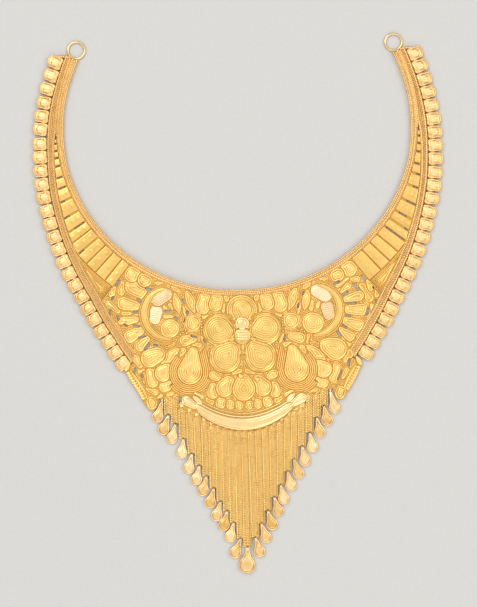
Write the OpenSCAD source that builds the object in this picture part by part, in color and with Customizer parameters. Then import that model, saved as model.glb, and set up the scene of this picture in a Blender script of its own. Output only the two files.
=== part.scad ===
// Collar necklace with a pierced bib panel, a crescent bar and a curtain of chains with flat drops.
// It lies face up: +Z is the front, the floor is z = 0, +Y points to the open ends of the collar.
// The layout is worked out about the centre of the neck opening and moved up by lift_y at the end,
// so that the origin is at the middle of the whole outline, on the floor. All sizes in millimetres.

/* [Gaps] */
// Gap left at each soldered seam
seam = 0.12; // [0.08:0.02:0.16]

/* [Collar] */
// Thickness of the collar strips
strip_t = 1.2; // [0.9:0.1:1.4]
// Height of the raised edge wires on the strips
wire_h = 1.8; // [1.6:0.1:2.2]
// Width of the raised edge wires
wire_w = 0.6; // [0.4:0.05:0.7]
// Thickness of the sheet under the laths
ladder_t = 0.8; // [0.6:0.1:1]
// Height of the laths
lath_h = 1.4; // [1.2:0.1:1.6]
// Angle from straight down to each end of the collar, degrees
end_a = 111.8; // [111:0.1:112.4]
// Angle from straight down to the seam between collar and bib, degrees
bib_a = 38; // [37.6:0.1:38.4]

/* [End rings] */
// Radius of the ring's wire centre line
ring_r = 3; // [2.8:0.05:3.2]
// Wire thickness of the ring
ring_wire = 0.85; // [0.7:0.05:1]

/* [Scallops] */
// Number of scallops on each side
scallop_n = 25; // [24:1:26]
// Length of a scallop, from the rail outwards
scallop_len = 5.4; // [5:0.1:5.8]
// Thickness of a scallop at its edge
scallop_t = 1.1; // [0.9:0.1:1.3]
// Height of a scallop's dome
scallop_h = 2.2; // [2:0.1:2.5]
// Radius of the outer lip
lip_r = 2.05; // [1.9:0.05:2.1]

/* [Bib] */
// Thickness of the bib plate
plate_t = 0.9; // [0.7:0.1:1]
// Edge thickness of the raised leaves and petals
leaf_t = 0.7; // [0.5:0.1:0.9]
// Rise of the domed leaves and petals above their edge
leaf_rise = 1.1; // [0.8:0.1:1.3]
// Height of the crescent bar above the plate
crescent_h = 2.6; // [2.2:0.1:3]

/* [Fringe] */
// Diameter of a chain
chain_d = 2.1; // [1.7:0.1:2.1]
// Radius of a drop's round end
drop_r = 2.1; // [1.9:0.05:2.2]
// Radius of a drop's neck
neck_r = 0.6; // [0.5:0.05:0.65]
// Thickness of a drop at its edge
drop_t = 1; // [0.8:0.1:1.2]
// Rise of a drop's cushioned face
drop_rise = 0.6; // [0.4:0.1:0.7]
// Radius of the centre drop's round end
centre_drop_r = 3; // [2.9:0.05:3.1]

/* [Hidden] */
$fn = 64;
lift_y = 67.4;   // from the neck centre to the origin
top_z = plate_t + 0.06;   // underside of everything laid on the bib plate

// ---- tables: columns are angle from straight down (degrees), radius from the neck centre (mm) ----
// neck edge of the collar
neck_tab = [[0,61.8],[15,62.2],[30,62.6],[45,63.1],[60,63.4],[75,63.3],[85,62.6],[95,62],[105,61.1],[112.5,60.6]];
// outer edge of the neck rail
band_tab = [[0,63.6],[20,64.3],[40,65.1],[60,65.5],[75,65.3],[85,64.9],[90,64.7],[100,63.8],[112.5,63]];
// inner edge of the outer rail
rail_in_tab = [[24,93.4],[26,91.4],[30.6,87.2],[36,83.2],[40,80.5],[45,78.2],[50,76.2],[55,74.4],[60,72.7],[65,71.1],
  [70,69.7],[75,68.3],[80,67.1],[85,66],[88,65],[90,64.82],[100,63.92],[112.5,63.12]];
// outer edge of the outer rail, where the scallops start
root_tab = [[24,96.7],[26,94.7],[30.6,90.5],[36,86.4],[40,83.6],[45,81.1],[50,79],[55,76.9],[60,75],[65,73.4],
  [70,72],[75,70.6],[80,69.4],[85,68.5],[90,67.7],[95,66.9],[100,66.2],[105,65.7],[112.5,65.3]];
// outer end of the laths
lath_tab = [[37,75.3],[52,75.3],[55,74],[60,72.3],[65,70.7],[70,69.3],[75,67.9],[80,66.8],[88,65.4]];

// ---- ladder: columns are angle, slot start radius, slot end radius, slot width; 0 where no slot is pierced ----
lines_left = [[40.5,0,0,0],[43.9,0,0,0],[47.3,0,0,0],[50.7,72.5,74.8,0.6],[54.1,0,0,0],[57.1,66.4,70.8,0.6],
  [61.1,69.6,71.9,0.6],[65.7,68.5,70.3,0.7],[69.6,66.2,69,0.6],[72.8,66.2,68.2,0.6],[76.3,65.8,67.5,0.7],
  [78.8,65.6,67,0.7],[81,65.6,66.6,0.7],[83.3,65.4,66.2,0.7]];
lines_right = [[42,0,0,0],[45.4,0,0,0],[48.8,0,0,0],[52.3,66.4,74.6,0.5],[55.2,72,73.8,0.6],[58.3,67.4,70.7,0.6],
  [62.5,67.8,71.6,0.5],[67.3,67.8,70,0.6],[71.2,67.4,69,0.6],[74.3,65.9,67.8,0.7],[78,65.6,67.1,0.7],
  [80.6,65.6,66.7,0.7],[82.9,65.4,66.2,0.7]];

// ---- bib plate: outer edge below the rail, top to bottom; the left one is drawn mirrored ----
bib_edge_right = [[41.1,-88.3],[42.4,-89.8],[41.2,-92.4],[40,-94.6],[39.2,-95.8],[39,-97],[38,-97.9],[37.1,-98.6],[37,-99.7],[36.4,-101],[35.7,-101.9],
  [34.9,-102.4],[33.9,-102.2],[32.9,-101.4],[32.35,-99.9],[32.2,-98.2],[27.8,-98.2],[27.6,-99.6],[22.4,-99.6],[22.2,-102.6],
  [18.4,-105],[12,-109],[6,-111.2],[0,-111.9]];
bib_edge_left = [[41.1,-88.3],[42.4,-89.8],[41.1,-92.4],[39.9,-94.4],[39.2,-95.8],[38.6,-97.1],[37.8,-97.3],[37.2,-98.8],[36.5,-100.2],[36,-101],
  [36,-102.1],[35.1,-102.7],[34.7,-103.8],[33.8,-104.5],[32.7,-104.3],[31.7,-103.7],[30.9,-102.4],[30.5,-100.3],[28.7,-100.3],
  [28.6,-99.6],[22.4,-99.6],[22.2,-102.6],[18.4,-105],[12,-109],[6,-111.2],[0,-111.9]];
// pierced openings in the plate: columns are x, y, length, width, turn
cuts_left = [[-33,-60.9,3,1.1,-25],[-44.2,-58.2,2.8,1,55],[-46.3,-63.6,1.6,0.9,60],[-36.5,-64.9,2.6,1,-40],
  [-38.2,-68.8,2,1.2,10],[-47.3,-68.6,2.2,0.8,80],[-44.4,-70.7,2.2,1,-75],[-47,-71.3,1.8,0.8,-65],[-41.9,-73.4,1.8,0.8,-35],
  [-37.9,-73.9,2.6,0.9,-15],[-36,-77.9,3,0.8,10],[-34.3,-81.4,3.4,1,50],[-31.2,-80.9,1.9,0.8,-15],[-39.2,-90.2,3.2,0.9,65],
  [-36.4,-91.9,1.7,1,-70],[-26.6,-68.8,2.8,1.1,-5],[-23.6,-71.5,1.9,1.1,-50],[-20.9,-65.5,2.3,0.8,-65],
  [-19.6,-69.5,1.6,1.1,70],[-20.5,-72.4,1.9,0.7,65],[-17.6,-78.2,2.3,0.8,-15],[-13.7,-79.9,2,0.9,-50]];
cuts_right = [[34.3,-60.2,2.8,1.1,25],[44,-58.6,2.8,1,-55],[41,-61.8,3.4,1,-60],[37.3,-64.1,2.6,1.1,35],[39.4,-67.6,4,0.9,0],
  [38.2,-72.1,2.2,0.9,-10],[36.8,-76,2.2,1,-35],[34.7,-78.5,2.8,1,-60],[45.1,-70.8,3,1.1,75],
  [47.8,-70.5,2.1,0.7,65],[48.2,-67.1,1.6,0.8,-75],[47.6,-62.2,1.2,0.9,0],[38,-88.8,3,0.9,80],[34.6,-93.3,4,0.8,65],
  [20.4,-68.1,1.8,0.8,75],[22.2,-63.6,1.8,0.6,60],[15.2,-79.3,2.2,0.8,80]];

// ---- fringe: columns are chain top x, chain top y, neck x, drop x, drop y, neck height above the drop's centre; left to right ----
fringe = [[-29.4,-100.2,-29.45,-31.2,-106.7,5.9],[-27.4,-99.85,-27.3,-29.2,-111.2,5.2],[-24.95,-99.85,-24.9,-26.3,-114.5,5.2],
  [-22.2,-103.6,-22.1,-22.9,-119.9,5.2],[-19.6,-105.35,-19.3,-20.5,-125.4,5.2],[-17,-107.05,-16.7,-17.9,-129.6,5.2],
  [-14.2,-108.85,-14.2,-15.6,-133.5,5.2],[-11.7,-110.2,-11.7,-13.1,-137.9,5.2],[-9.4,-111.2,-9.4,-10.9,-142.7,5.2],
  [-7.1,-112,-7.1,-8.4,-146.2,5.2],[-4.8,-112.5,-4.85,-6.25,-150.4,5.2],[-2.45,-112.75,-2.5,-4.6,-156.2,5.2],
  [0,-112.8,-0.15,-0.5,-160.8,6.6],
  [2.45,-112.75,2.8,4.1,-156,5.2],[5,-112.45,5.05,6.6,-150.9,5.2],[7.6,-111.85,7.5,8.9,-146.4,5.2],
  [10.25,-110.9,9.95,11.2,-141.6,5.2],[12.95,-109.6,12.35,13.3,-137.3,5.2],[15.75,-107.85,15,16,-132.5,5.2],
  [18.5,-105.8,17.4,18.9,-128.2,5.2],[20.9,-104.75,20.4,21.3,-123.7,5.2],[23.7,-99.85,23.3,24.1,-118.9,5.2],
  [26.4,-99.85,26,26.9,-113.7,5.4],[29.05,-98.45,28.6,29.6,-109.4,5.2],[31.1,-98.4,31.05,32.5,-105.1,6.3]];

// ---- geometry helpers ----
function pol(a, r) = [r * sin(a), -r * cos(a)];
function steps(a, b, n) = [for (i = [0:n]) a + (b - a) * i / n];
// strip between two radius tables
function strip(t0, t1, a, b, n, d0 = 0, d1 = 0) = concat(
  [for (x = steps(a, b, n)) pol(x, lookup(x, t0) + d0)],
  [for (x = steps(b, a, n)) pol(x, lookup(x, t1) + d1)]);
// the same for a strip that runs across the middle
function wide_strip(t0, t1, a, n, d0 = 0, d1 = 0) = concat(
  [for (x = steps(-a, a, n)) pol(x, lookup(abs(x), t0) + d0)],
  [for (x = steps(a, -a, n)) pol(x, lookup(abs(x), t1) + d1)]);
// outward direction of the outer rail's edge at an angle
function root_pt(a) = pol(a, lookup(a, root_tab));
function out_dir(a) = let (d = root_pt(a + 1.5) - root_pt(a - 1.5)) [d[1], -d[0]] / norm(d);
function dome_pt(a) = root_pt(a) + 1.9 * out_dir(a);
// length along the scallop row against angle
row_lo = 25.4; row_hi = 110.4; row_k = 170;
function row_a(i) = row_hi + (row_lo - row_hi) * i / row_k;
row_len = [for (i = 0, s = 0; i <= row_k; s = s + norm(dome_pt(row_a(i + 1)) - dome_pt(row_a(i))), i = i + 1) [s, row_a(i)]];
row_total = row_len[row_k][0];
function row_s(t) = row_total * (t + 0.035 * t * (1 - t));
function unit_a(i) = lookup(row_s((i + 0.5) / scallop_n), row_len);
function unit_w(i) = row_s((i + 1) / scallop_n) - row_s(i / scallop_n);

// outline of two circles with straight sides, set in a hair from the tangents
module capsule(p0, r0, p1, r1) {
  d = norm(p1 - p0);
  t = (p1 - p0) / d;
  n = [-t[1], t[0]];
  s = (r0 - r1) / d;
  c = sqrt(1 - s * s);
  translate(p0) circle(r = r0);
  translate(p1) circle(r = r1);
  q0 = 0.97 * r0;
  q1 = 0.97 * r1;
  polygon([p0 + q0 * (c * n + s * t), p1 + q1 * (c * n + s * t), p1 + q1 * (s * t - c * n), p0 + q0 * (s * t - c * n)]);
}
// raised leaf: an outline cut from a ball, edge thickness h at its widest reach and rise above that at its middle
module leaf(p0, r0, p1, r1, h = leaf_t, rise = leaf_rise) {
  d = norm(p1 - p0);
  reach = (d + r0 + r1) / 2 + 0.1;
  m = p0 + (p1 - p0) / d * ((d + r1 - r0) / 2);
  ball = (reach * reach + rise * rise) / (2 * rise);
  translate([0, 0, top_z]) intersection() {
    linear_extrude(h + rise + 1) capsule(p0, r0, p1, r1);
    translate([m[0], m[1], h + rise - ball]) rotate([0, 90, 0]) sphere(r = ball, $fn = 180);
  }
}
// raised round dome
module dome(p, r, h = leaf_t, rise = leaf_rise) {
  ball = (r * r + rise * rise) / (2 * rise);
  translate([p[0], p[1], top_z]) intersection() {
    cylinder(r = r, h = h + rise + 1);
    translate([0, 0, h + rise - ball]) rotate([0, 90, 0]) sphere(r = ball + 0.02, $fn = 180);
  }
}
module slot(c) {
  translate([c[0], c[1], -1]) rotate([0, 0, c[4]]) linear_extrude(4) {
    square([c[2] - c[3], c[3]], center = true);
    for (k = [-1, 1]) translate([k * (c[2] - c[3]) / 2, 0]) circle(r = c[3] / 2);
  }
}
ring_c = pol(114.3, 62.6);   // centre of the right end ring
module ring_room() { translate([ring_c[0], ring_c[1], -1]) cylinder(r = ring_r + ring_wire / 2 + seam, h = 6); }
module both_ring_rooms() { ring_room(); mirror([1, 0, 0]) ring_room(); }
module placed() { translate([0, lift_y, 0]) children(); }

// ---- collar ----
// strip along the neck, with a bright wire on each edge
module neck_rail() {
  color("gold") placed() difference() {
    union() {
      linear_extrude(strip_t) polygon(wide_strip(neck_tab, band_tab, end_a, 84));
      linear_extrude(wire_h) polygon(wide_strip(neck_tab, neck_tab, end_a, 84, 0, wire_w));
      linear_extrude(wire_h - 0.2) polygon(wide_strip(band_tab, band_tab, end_a, 84, -0.45, 0));
    }
    both_ring_rooms();
  }
}
// granulated strip that carries the scallops
module outer_rail() {
  difference() {
    union() {
      linear_extrude(strip_t) polygon(strip(rail_in_tab, root_tab, 24.6, end_a, 40));
      linear_extrude(wire_h) polygon(strip(root_tab, root_tab, 24.6, end_a, 40, -0.6, 0));
      linear_extrude(wire_h - 0.2) polygon(strip(rail_in_tab, rail_in_tab, 24.6, end_a, 40, 0, 0.6));
    }
    ring_room();
  }
}
// sheet with laths across it, pierced between some of the laths
module ladder(lines) {
  a0 = bib_a + 0.1;
  a1 = 84.6;
  edges = concat([a0 - 0.2], [for (l = lines) l[0]], [a1 + 0.3]);
  difference() {
    union() {
      linear_extrude(ladder_t) polygon(strip(band_tab, rail_in_tab, a0, a1, 22, seam, -seam));
      for (i = [0:len(edges) - 2]) let (g = 0.26) linear_extrude(lath_h) polygon(concat(
        [for (a = steps(edges[i] + g, edges[i + 1] - g, 2)) pol(a, lookup(a, band_tab) + 0.35)],
        [for (a = steps(edges[i + 1] - g, edges[i] + g, 2)) pol(a, min(lookup(a, lath_tab), lookup(a, rail_in_tab) - 0.25))]));
      // granulated corner between the laths and the outer rail
      linear_extrude(lath_h - 0.2) polygon(concat([for (a = steps(a0 + 0.3, 50, 8)) pol(a, 75.6)],
        [for (a = steps(50, a0 + 0.3, 8)) pol(a, lookup(a, rail_in_tab) - 0.3)]));
    }
    for (l = lines) if (l[3] > 0)
      let (p = pol(l[0], (l[1] + l[2]) / 2)) slot([p[0], p[1], l[2] - l[1], l[3], l[0] - 90]);
  }
}
// one scallop: +X points away from the rail
module scallop_unit(w) {
  intersection() {
    union() {
      translate([1.9, 0, 0]) cylinder(r = w / 2 + 0.06, h = scallop_t);
      translate([scallop_len - lip_r, 0, 0]) cylinder(r = lip_r, h = scallop_t);
      intersection() {
        translate([1.9, 0, 0]) cylinder(r = 2, h = scallop_h + 1);
        translate([1.9, 0, scallop_h - 3]) rotate([0, 90, 0]) sphere(r = 3);
      }
      translate([scallop_len - 1.1, 0, 0]) cylinder(r = 0.8, h = scallop_t + 0.5);
    }
    translate([seam, -5, 0]) cube([10, 10, 6]);
  }
}
module scallops() {
  for (i = [0:scallop_n - 1]) let (a = unit_a(i), p = root_pt(a), d = out_dir(a))
    translate([p[0], p[1], 0]) rotate([0, 0, atan2(d[1], d[0])]) scallop_unit(unit_w(i));
}
module end_ring() {
  color("khaki") translate([ring_c[0], ring_c[1], ring_wire / 2]) rotate_extrude() translate([ring_r, 0]) circle(r = ring_wire / 2, $fn = 32);
}

// ---- bib ----
function half_plate(edge) = concat(
  [for (a = steps(0, bib_a - 0.1, 14)) pol(a, lookup(a, band_tab) + seam)],
  [for (a = steps(bib_a - 0.1, 25, 8)) pol(a, lookup(a, rail_in_tab) - seam)],
  [pol(24.4, lookup(24.6, rail_in_tab)), pol(24.35, lookup(24.6, root_tab) + 0.1)], edge);
module bib_plate() {
  color("goldenrod") placed() difference() {
    union() {
      linear_extrude(plate_t) polygon(half_plate(bib_edge_right));
      linear_extrude(plate_t) mirror([1, 0]) polygon(half_plate(bib_edge_left));
    }
    for (c = cuts_left) slot(c);
    for (c = cuts_right) slot(c);
  }
}
// petals: columns are x, y, radius
petals = [[0,-68.6,3.5],[8.5,-75.7,4.5],[-8.5,-75.7,4.5],[6.3,-85.6,4.6],[-6.3,-85.6,4.6]];
module centre_flower() {
  color("gold") placed() difference() {
    union() {
      for (p = petals) leaf([p[0], p[1]], p[2], [p[0] * 0.66, -78.4 + (p[1] + 78.4) * 0.66], 2.1, leaf_t, leaf_rise + 0.2);
      translate([0, 0, top_z]) linear_extrude(0.5) for (p = petals) capsule([0, -78.4], 3, [p[0] * 0.8, -78.4 + (p[1] + 78.4) * 0.8], 1.4);
      dome([0, -78.4], 3.1, 0.9, 0.9);
    }
    translate([0, -74.4, top_z + 0.8]) cylinder(r = 2.5 + seam, h = 6);
  }
}
module flower_boss() {
  color("khaki") placed() translate([0, -74.4, top_z + 0.86]) difference() {
    union() { cylinder(r = 2.5, h = 1.3); translate([0, 0, 1.3 - 2.2]) intersection() { sphere(r = 3); translate([0, 0, 1.5]) cylinder(r = 1.6, h = 3); } }
    difference() { translate([0, 0, 1]) cylinder(r = 2.1, h = 0.6); translate([0, 0, 0.9]) cylinder(r = 1.6, h = 2); }
  }
}
module arch() {
  color("gold") placed() translate([0, 0, top_z]) difference() {
    union() {
      translate([0, -69.2, 0]) cylinder(r = 5.6, h = 1.2);
      translate([-5.6, -71.4, 0]) cube([11.2, 2.2, 1.2]);
      translate([0, -69.2, 0]) intersection() { cylinder(r = 5.1, h = 1.6); translate([-6, 0, 0]) cube([12, 6, 2]); }
    }
    translate([0, -69.2, -1]) cylinder(r = 4.15, h = 4);
    translate([-4.15, -76, -1]) cube([8.3, 6.8, 4]);
    translate([-7, -77, -1]) cube([14, 5.6, 4]);
  }
}
// leaves along the neck edge: columns are x0, y0, r0, x1, y1, r1
top_leaves = [[8.6,-67.2,2.3,8,-65.6,1.6],[12.7,-66.6,2.2,12.6,-65,1.7],[15.9,-67.9,1.3,17.2,-63.9,1.6],[17,-73.6,2.9,17,-74.4,2.9]];
module top_leaves() {
  for (l = top_leaves) leaf([l[0], l[1]], l[2], [l[3], l[4]], l[5], leaf_t, 0.8);
  translate([0, 0, top_z]) linear_extrude(0.4) polygon([[7.5,-66],[12.5,-66.3],[16,-67.6],[17.6,-72.5],[16.4,-72.5],[15,-68.6],[12.5,-67.3],[7.5,-67]]);
}
// domed petals of the round side flower: columns are x0, y0, r0, x1, y1, r1
side_c = [26, -69.7];
side_petals = [[27.7,-64,3.1,28.3,-63.8,3.1],[30.7,-71.6,2.3,30.5,-68.9,2.2],[25.2,-74.7,3.3,25.6,-74.8,3.3],[22,-70.2,1,22.7,-66.3,1.4]];
module side_flower() {
  for (l = side_petals) leaf([l[0], l[1]], l[2], [l[3], l[4]], l[5], leaf_t, 1.2);
  // web under the petals, and the crescent band round them
  translate([side_c[0], side_c[1], top_z]) {
    difference() {
      cylinder(r = 10.5, h = 0.8);
      translate([0, 0, -1]) cylinder(r = 7.7, h = 4);
      translate([-20, -20, -1]) cube([20.4, 40, 4]);
    }
    difference() {
      cylinder(r = 9.9, h = 1.3);
      translate([0, 0, -1]) cylinder(r = 8.3, h = 4);
      translate([-20, -20, -1]) cube([20.4, 40, 4]);
    }
    linear_extrude(0.4) for (l = side_petals) let (p = [l[0], l[1]] - side_c) capsule([p[0] * 0.2, p[1] * 0.2], 1.5, p, l[2] * 0.6);
    linear_extrude(0.4) capsule([0, 0], 1.5, [8.6, 0], 0.8);
    linear_extrude(0.4) capsule([0.6, -5], 1, [1.4, -8.6], 0.8);
  }
}
// petals that fan out from the side flower: columns are turn, inner radius, outer radius
fan = [[38,12.9,16.2],[13.5,12.8,17.2],[-7,12.8,17.8],[-27,12.8,16.5],[-45.5,13,16.8]];
module side_fan() {
  for (f = fan) let (p0 = side_c + f[1] * [cos(f[0]), sin(f[0])], p1 = side_c + f[2] * [cos(f[0]), sin(f[0])]) leaf(p1, 2, p0, 1.6, leaf_t, 0.9);
  translate([side_c[0], side_c[1], top_z]) linear_extrude(0.4) polygon(concat(
    [for (t = steps(-50, 42, 12)) 11.4 * [cos(t), sin(t)]], [for (t = steps(42, -50, 12)) 14.3 * [cos(t), sin(t)]]));
}
module paisley() {
  color("gold") {
    translate([0, 0, top_z]) linear_extrude(0.5) capsule([18.6, -91], 6.1, [17.2, -82], 2.2);
    leaf([18.6, -91], 5.2, [17.3, -82.4], 1.5, leaf_t, 1.3);
  }
}
// broad lobes between paisley, side flower and feather: columns are x0, y0, r0, x1, y1, r1
lobes = [[30.8,-85.6,3.3,28.6,-83.8,2.2],[27.6,-93.4,3.1,26.6,-90,1.8],[34,-86.3,1.4,34.6,-88.4,1.6],[31.2,-91,1.2,30.2,-94.6,1.1]];
module lobe_group() {
  for (l = lobes) leaf([l[0], l[1]], l[2], [l[3], l[4]], l[5], leaf_t, 1);
  translate([0, 0, top_z]) linear_extrude(0.4) { capsule([30.8, -86], 2, [27.4, -92.4], 2); capsule([30.8, -86], 1.2, [34, -87.4], 1.2); capsule([28, -93], 1, [31, -93.4], 1); }
}
// feather beside the rail: inner edge, then outer edges and end lobes of the two sides
feather_in = [[36.8,-87],[36.6,-88.2],[35.6,-91],[33.6,-95.2],[32.5,-98.4]];
feather_out_right = [[32.5,-99.8],[33.1,-101.2],[34,-101.9],[34.9,-102.1],[35.6,-101.6],[36.2,-100.8],[36.8,-99.6],[36.9,-98.5],
  [38.7,-96.8],[38.9,-95.6],[39.7,-94.5],[40.9,-92.3],[42,-89.9],[40.6,-88.4]];
feather_out_left = [[30.8,-100.4],[31.1,-102.3],[31.9,-103.5],[32.8,-104],[33.7,-104.2],[34.5,-103.6],[35.8,-101.9],[35.8,-100.9],
  [37,-98.7],[37.6,-97.1],[38.9,-95.6],[39.6,-94.3],[40.8,-92.3],[42,-89.9],[40.6,-88.4]];
module feather(outer, tip, cuts, side) {
  translate([0, 0, top_z]) difference() {
    union() {
      linear_extrude(0.6) polygon(concat(feather_in, outer));
      linear_extrude(1.1) polygon([[36.4,-93.2],[34.4,-97.6],[36.2,-98.2],[37.8,-95.8],[39.4,-92.4],[40.9,-89.9],[40.2,-88.8],[39.2,-89.4]]);
    }
    translate([0, 0, -1]) for (c = cuts) if (side * c[0] > 30 && c[1] < -85) slot([side * c[0], c[1], c[2], c[3] + 0.2, side * c[4]]);
  }
  dome(tip, 2, leaf_t, 1);
}
// shell and side lobes under the centre flower: columns are x0, y0, r0, x1, y1, r1
shell = [[0,-97.6,3.6,0,-93.6,2],[6.6,-95.4,2.6,3.7,-93.6,1.2],[-6.6,-95.4,2.6,-3.7,-93.6,1.2]];
module shell_lobes() {
  color("gold") placed() {
    for (l = shell) leaf([l[0], l[1]], l[2], [l[3], l[4]], l[5], leaf_t, 1);
    translate([0, 0, top_z]) linear_extrude(0.4) capsule([-5, -94.4], 1.4, [5, -94.4], 1.4);
  }
}
// small leaves above the crescent: columns are x0, y0, r0, x1, y1, r1
small_leaves = [[2.4,-103.6,1.7,4.6,-103,1.1],[7.4,-101.9,1.8,9.6,-100.6,1.1],[12.2,-98.9,1.6,13.8,-97.2,0.9]];
module leaf_row() {
  color("gold") placed() {
    for (m = [0, 1]) mirror([m, 0, 0]) for (l = small_leaves) leaf([l[0], l[1]], l[2], [l[3], l[4]], l[5], leaf_t, 0.7);
    translate([0, 0, top_z]) linear_extrude(0.4) for (m = [0, 1]) mirror([m, 0]) polygon([[0,-104.4],[5,-103.9],[10,-101.9],[13.4,-98.9],[12.2,-98.3],[9.2,-100.6],[5,-102.3],[0,-102.9]]);
  }
}
// crescent: lower and upper edge, set in by d
function low_y(x, d) = -112.6 + 0.0232 * x * x + d;
function high_y(x, d) = -107.6 + 0.0205 * x * x - d;
function crescent_half(d) = concat([for (x = steps(0, 17.5 - d, 10)) [x, low_y(x, d)]],
  [[20 - d, -104.4 + d], [22 - d, -102.4 + d], [21.4 - d, -100.2 - d], [19 - d, -99.8 - d]],
  [for (x = steps(17.5 - d, 0, 10)) [x, high_y(x, d)]]);
module crescent_bar() {
  color("khaki") placed() translate([0, 0, top_z]) for (m = [0, 1]) mirror([m, 0, 0]) {
    linear_extrude(crescent_h * 0.5) polygon(crescent_half(0));
    linear_extrude(crescent_h * 0.82) polygon(crescent_half(0.5));
    linear_extrude(crescent_h) polygon(crescent_half(1.1));
  }
}

// ---- fringe ----
// straight chain i hangs flat on the floor between the panel's edge and its drop
module chain(i) {
  f = fringe[i];
  a = [f[0], f[1]];
  b = [f[2], f[4] + f[5] + 0.3];
  d = norm(b - a);
  translate([a[0], a[1], chain_d / 2]) rotate([0, 0, atan2(b[1] - a[1], b[0] - a[0])]) rotate([0, 90, 0]) cylinder(r = chain_d / 2, h = d);
}
// a flat drop with a cushioned face, hung from the neck and leaning to its round end
module drop(i) {
  f = fringe[i];
  r = i == 12 ? centre_drop_r : drop_r;
  p = [f[3], f[4]];
  q = [f[2], f[4] + f[5] - neck_r];
  rise = i == 12 ? drop_rise + 0.3 : drop_rise;
  ball = (r * r + rise * rise) / (2 * rise);
  color("gold") placed() {
    linear_extrude(drop_t) {
      circle_at(p, r);
      capsule(p, 0.74 * r, q, neck_r);
    }
    translate([p[0], p[1], 0]) intersection() {
      cylinder(r = r, h = drop_t + rise + 1);
      translate([0, 0, drop_t + rise - ball]) rotate([0, 90, 0]) sphere(r = ball, $fn = 180);
    }
  }
}
module circle_at(p, r) { translate(p) circle(r = r); }
module chains(a, b) { color("goldenrod") placed() for (i = [a:b]) chain(i); }

// ---- the pieces ----
module outer_rail_right() { color("orange") placed() outer_rail(); }
module outer_rail_left() { color("orange") placed() mirror([1, 0, 0]) outer_rail(); }
module ladder_right() { color("goldenrod") placed() ladder(lines_right); }
module ladder_left() { color("goldenrod") placed() mirror([1, 0, 0]) ladder(lines_left); }
module scallops_right() { color("gold") placed() scallops(); }
module scallops_left() { color("gold") placed() mirror([1, 0, 0]) scallops(); }
module end_ring_right() { placed() end_ring(); }
module end_ring_left() { placed() mirror([1, 0, 0]) end_ring(); }
module top_leaves_right() { color("gold") placed() top_leaves(); }
module top_leaves_left() { color("gold") placed() mirror([1, 0, 0]) top_leaves(); }
module side_flower_right() { color("wheat") placed() side_flower(); }
module side_flower_left() { color("wheat") placed() mirror([1, 0, 0]) side_flower(); }
module side_fan_right() { color("gold") placed() side_fan(); }
module side_fan_left() { color("gold") placed() mirror([1, 0, 0]) side_fan(); }
module paisley_right() { placed() paisley(); }
module paisley_left() { placed() mirror([1, 0, 0]) paisley(); }
module lobes_right() { color("gold") placed() lobe_group(); }
module lobes_left() { color("gold") placed() mirror([1, 0, 0]) lobe_group(); }
module feather_right() { color("gold") placed() feather(feather_out_right, [34.5,-99.9], cuts_right, 1); }
module feather_left() { color("gold") placed() mirror([1, 0, 0]) feather(feather_out_left, [33.1,-101.9], cuts_left, -1); }

neck_rail();
outer_rail_left();
outer_rail_right();
ladder_left();
ladder_right();
scallops_left();
scallops_right();
end_ring_left();
end_ring_right();
bib_plate();
centre_flower();
flower_boss();
arch();
top_leaves_left();
top_leaves_right();
side_flower_left();
side_flower_right();
side_fan_left();
side_fan_right();
paisley_left();
paisley_right();
lobes_left();
lobes_right();
feather_left();
feather_right();
shell_lobes();
leaf_row();
crescent_bar();
chains(1, 3);  // chains_left_outer
chains(4, 8);  // chains_left
chains(9, 15);  // chains_centre
chains(16, 20);  // chains_right
chains(21, 23);  // chains_right_outer
drop(0);  // drop_l12
drop(1);  // drop_l11
drop(2);  // drop_l10
drop(3);  // drop_l09
drop(4);  // drop_l08
drop(5);  // drop_l07
drop(6);  // drop_l06
drop(7);  // drop_l05
drop(8);  // drop_l04
drop(9);  // drop_l03
drop(10);  // drop_l02
drop(11);  // drop_l01
drop(12);  // drop_centre
drop(13);  // drop_r01
drop(14);  // drop_r02
drop(15);  // drop_r03
drop(16);  // drop_r04
drop(17);  // drop_r05
drop(18);  // drop_r06
drop(19);  // drop_r07
drop(20);  // drop_r08
drop(21);  // drop_r09
drop(22);  // drop_r10
drop(23);  // drop_r11
drop(24);  // drop_r12
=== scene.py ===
# Gold collar necklace, lying face up on a pale floor. Lengths here are in millimetres about the centre of
# the neck opening, as in the drawing of the part, and are turned into metres in the shared frame by piece().
import math
import bpy
import numpy as np
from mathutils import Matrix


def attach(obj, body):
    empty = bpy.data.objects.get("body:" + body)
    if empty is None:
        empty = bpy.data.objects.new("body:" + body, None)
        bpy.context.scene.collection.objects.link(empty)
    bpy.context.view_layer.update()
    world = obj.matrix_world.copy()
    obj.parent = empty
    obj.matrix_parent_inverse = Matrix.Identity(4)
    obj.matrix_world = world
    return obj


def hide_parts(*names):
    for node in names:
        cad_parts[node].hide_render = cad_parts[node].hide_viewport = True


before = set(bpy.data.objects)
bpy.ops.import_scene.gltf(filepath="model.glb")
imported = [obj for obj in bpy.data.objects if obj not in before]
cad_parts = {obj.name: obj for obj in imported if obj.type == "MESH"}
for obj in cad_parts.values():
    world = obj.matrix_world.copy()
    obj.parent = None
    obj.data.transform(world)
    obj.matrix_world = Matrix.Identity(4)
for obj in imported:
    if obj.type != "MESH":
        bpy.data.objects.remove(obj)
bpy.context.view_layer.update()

UP = 67.4          # from the neck centre to the frame's origin
TOP = 0.9          # top of the bib plate
rng = np.random.default_rng(7961)

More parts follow.
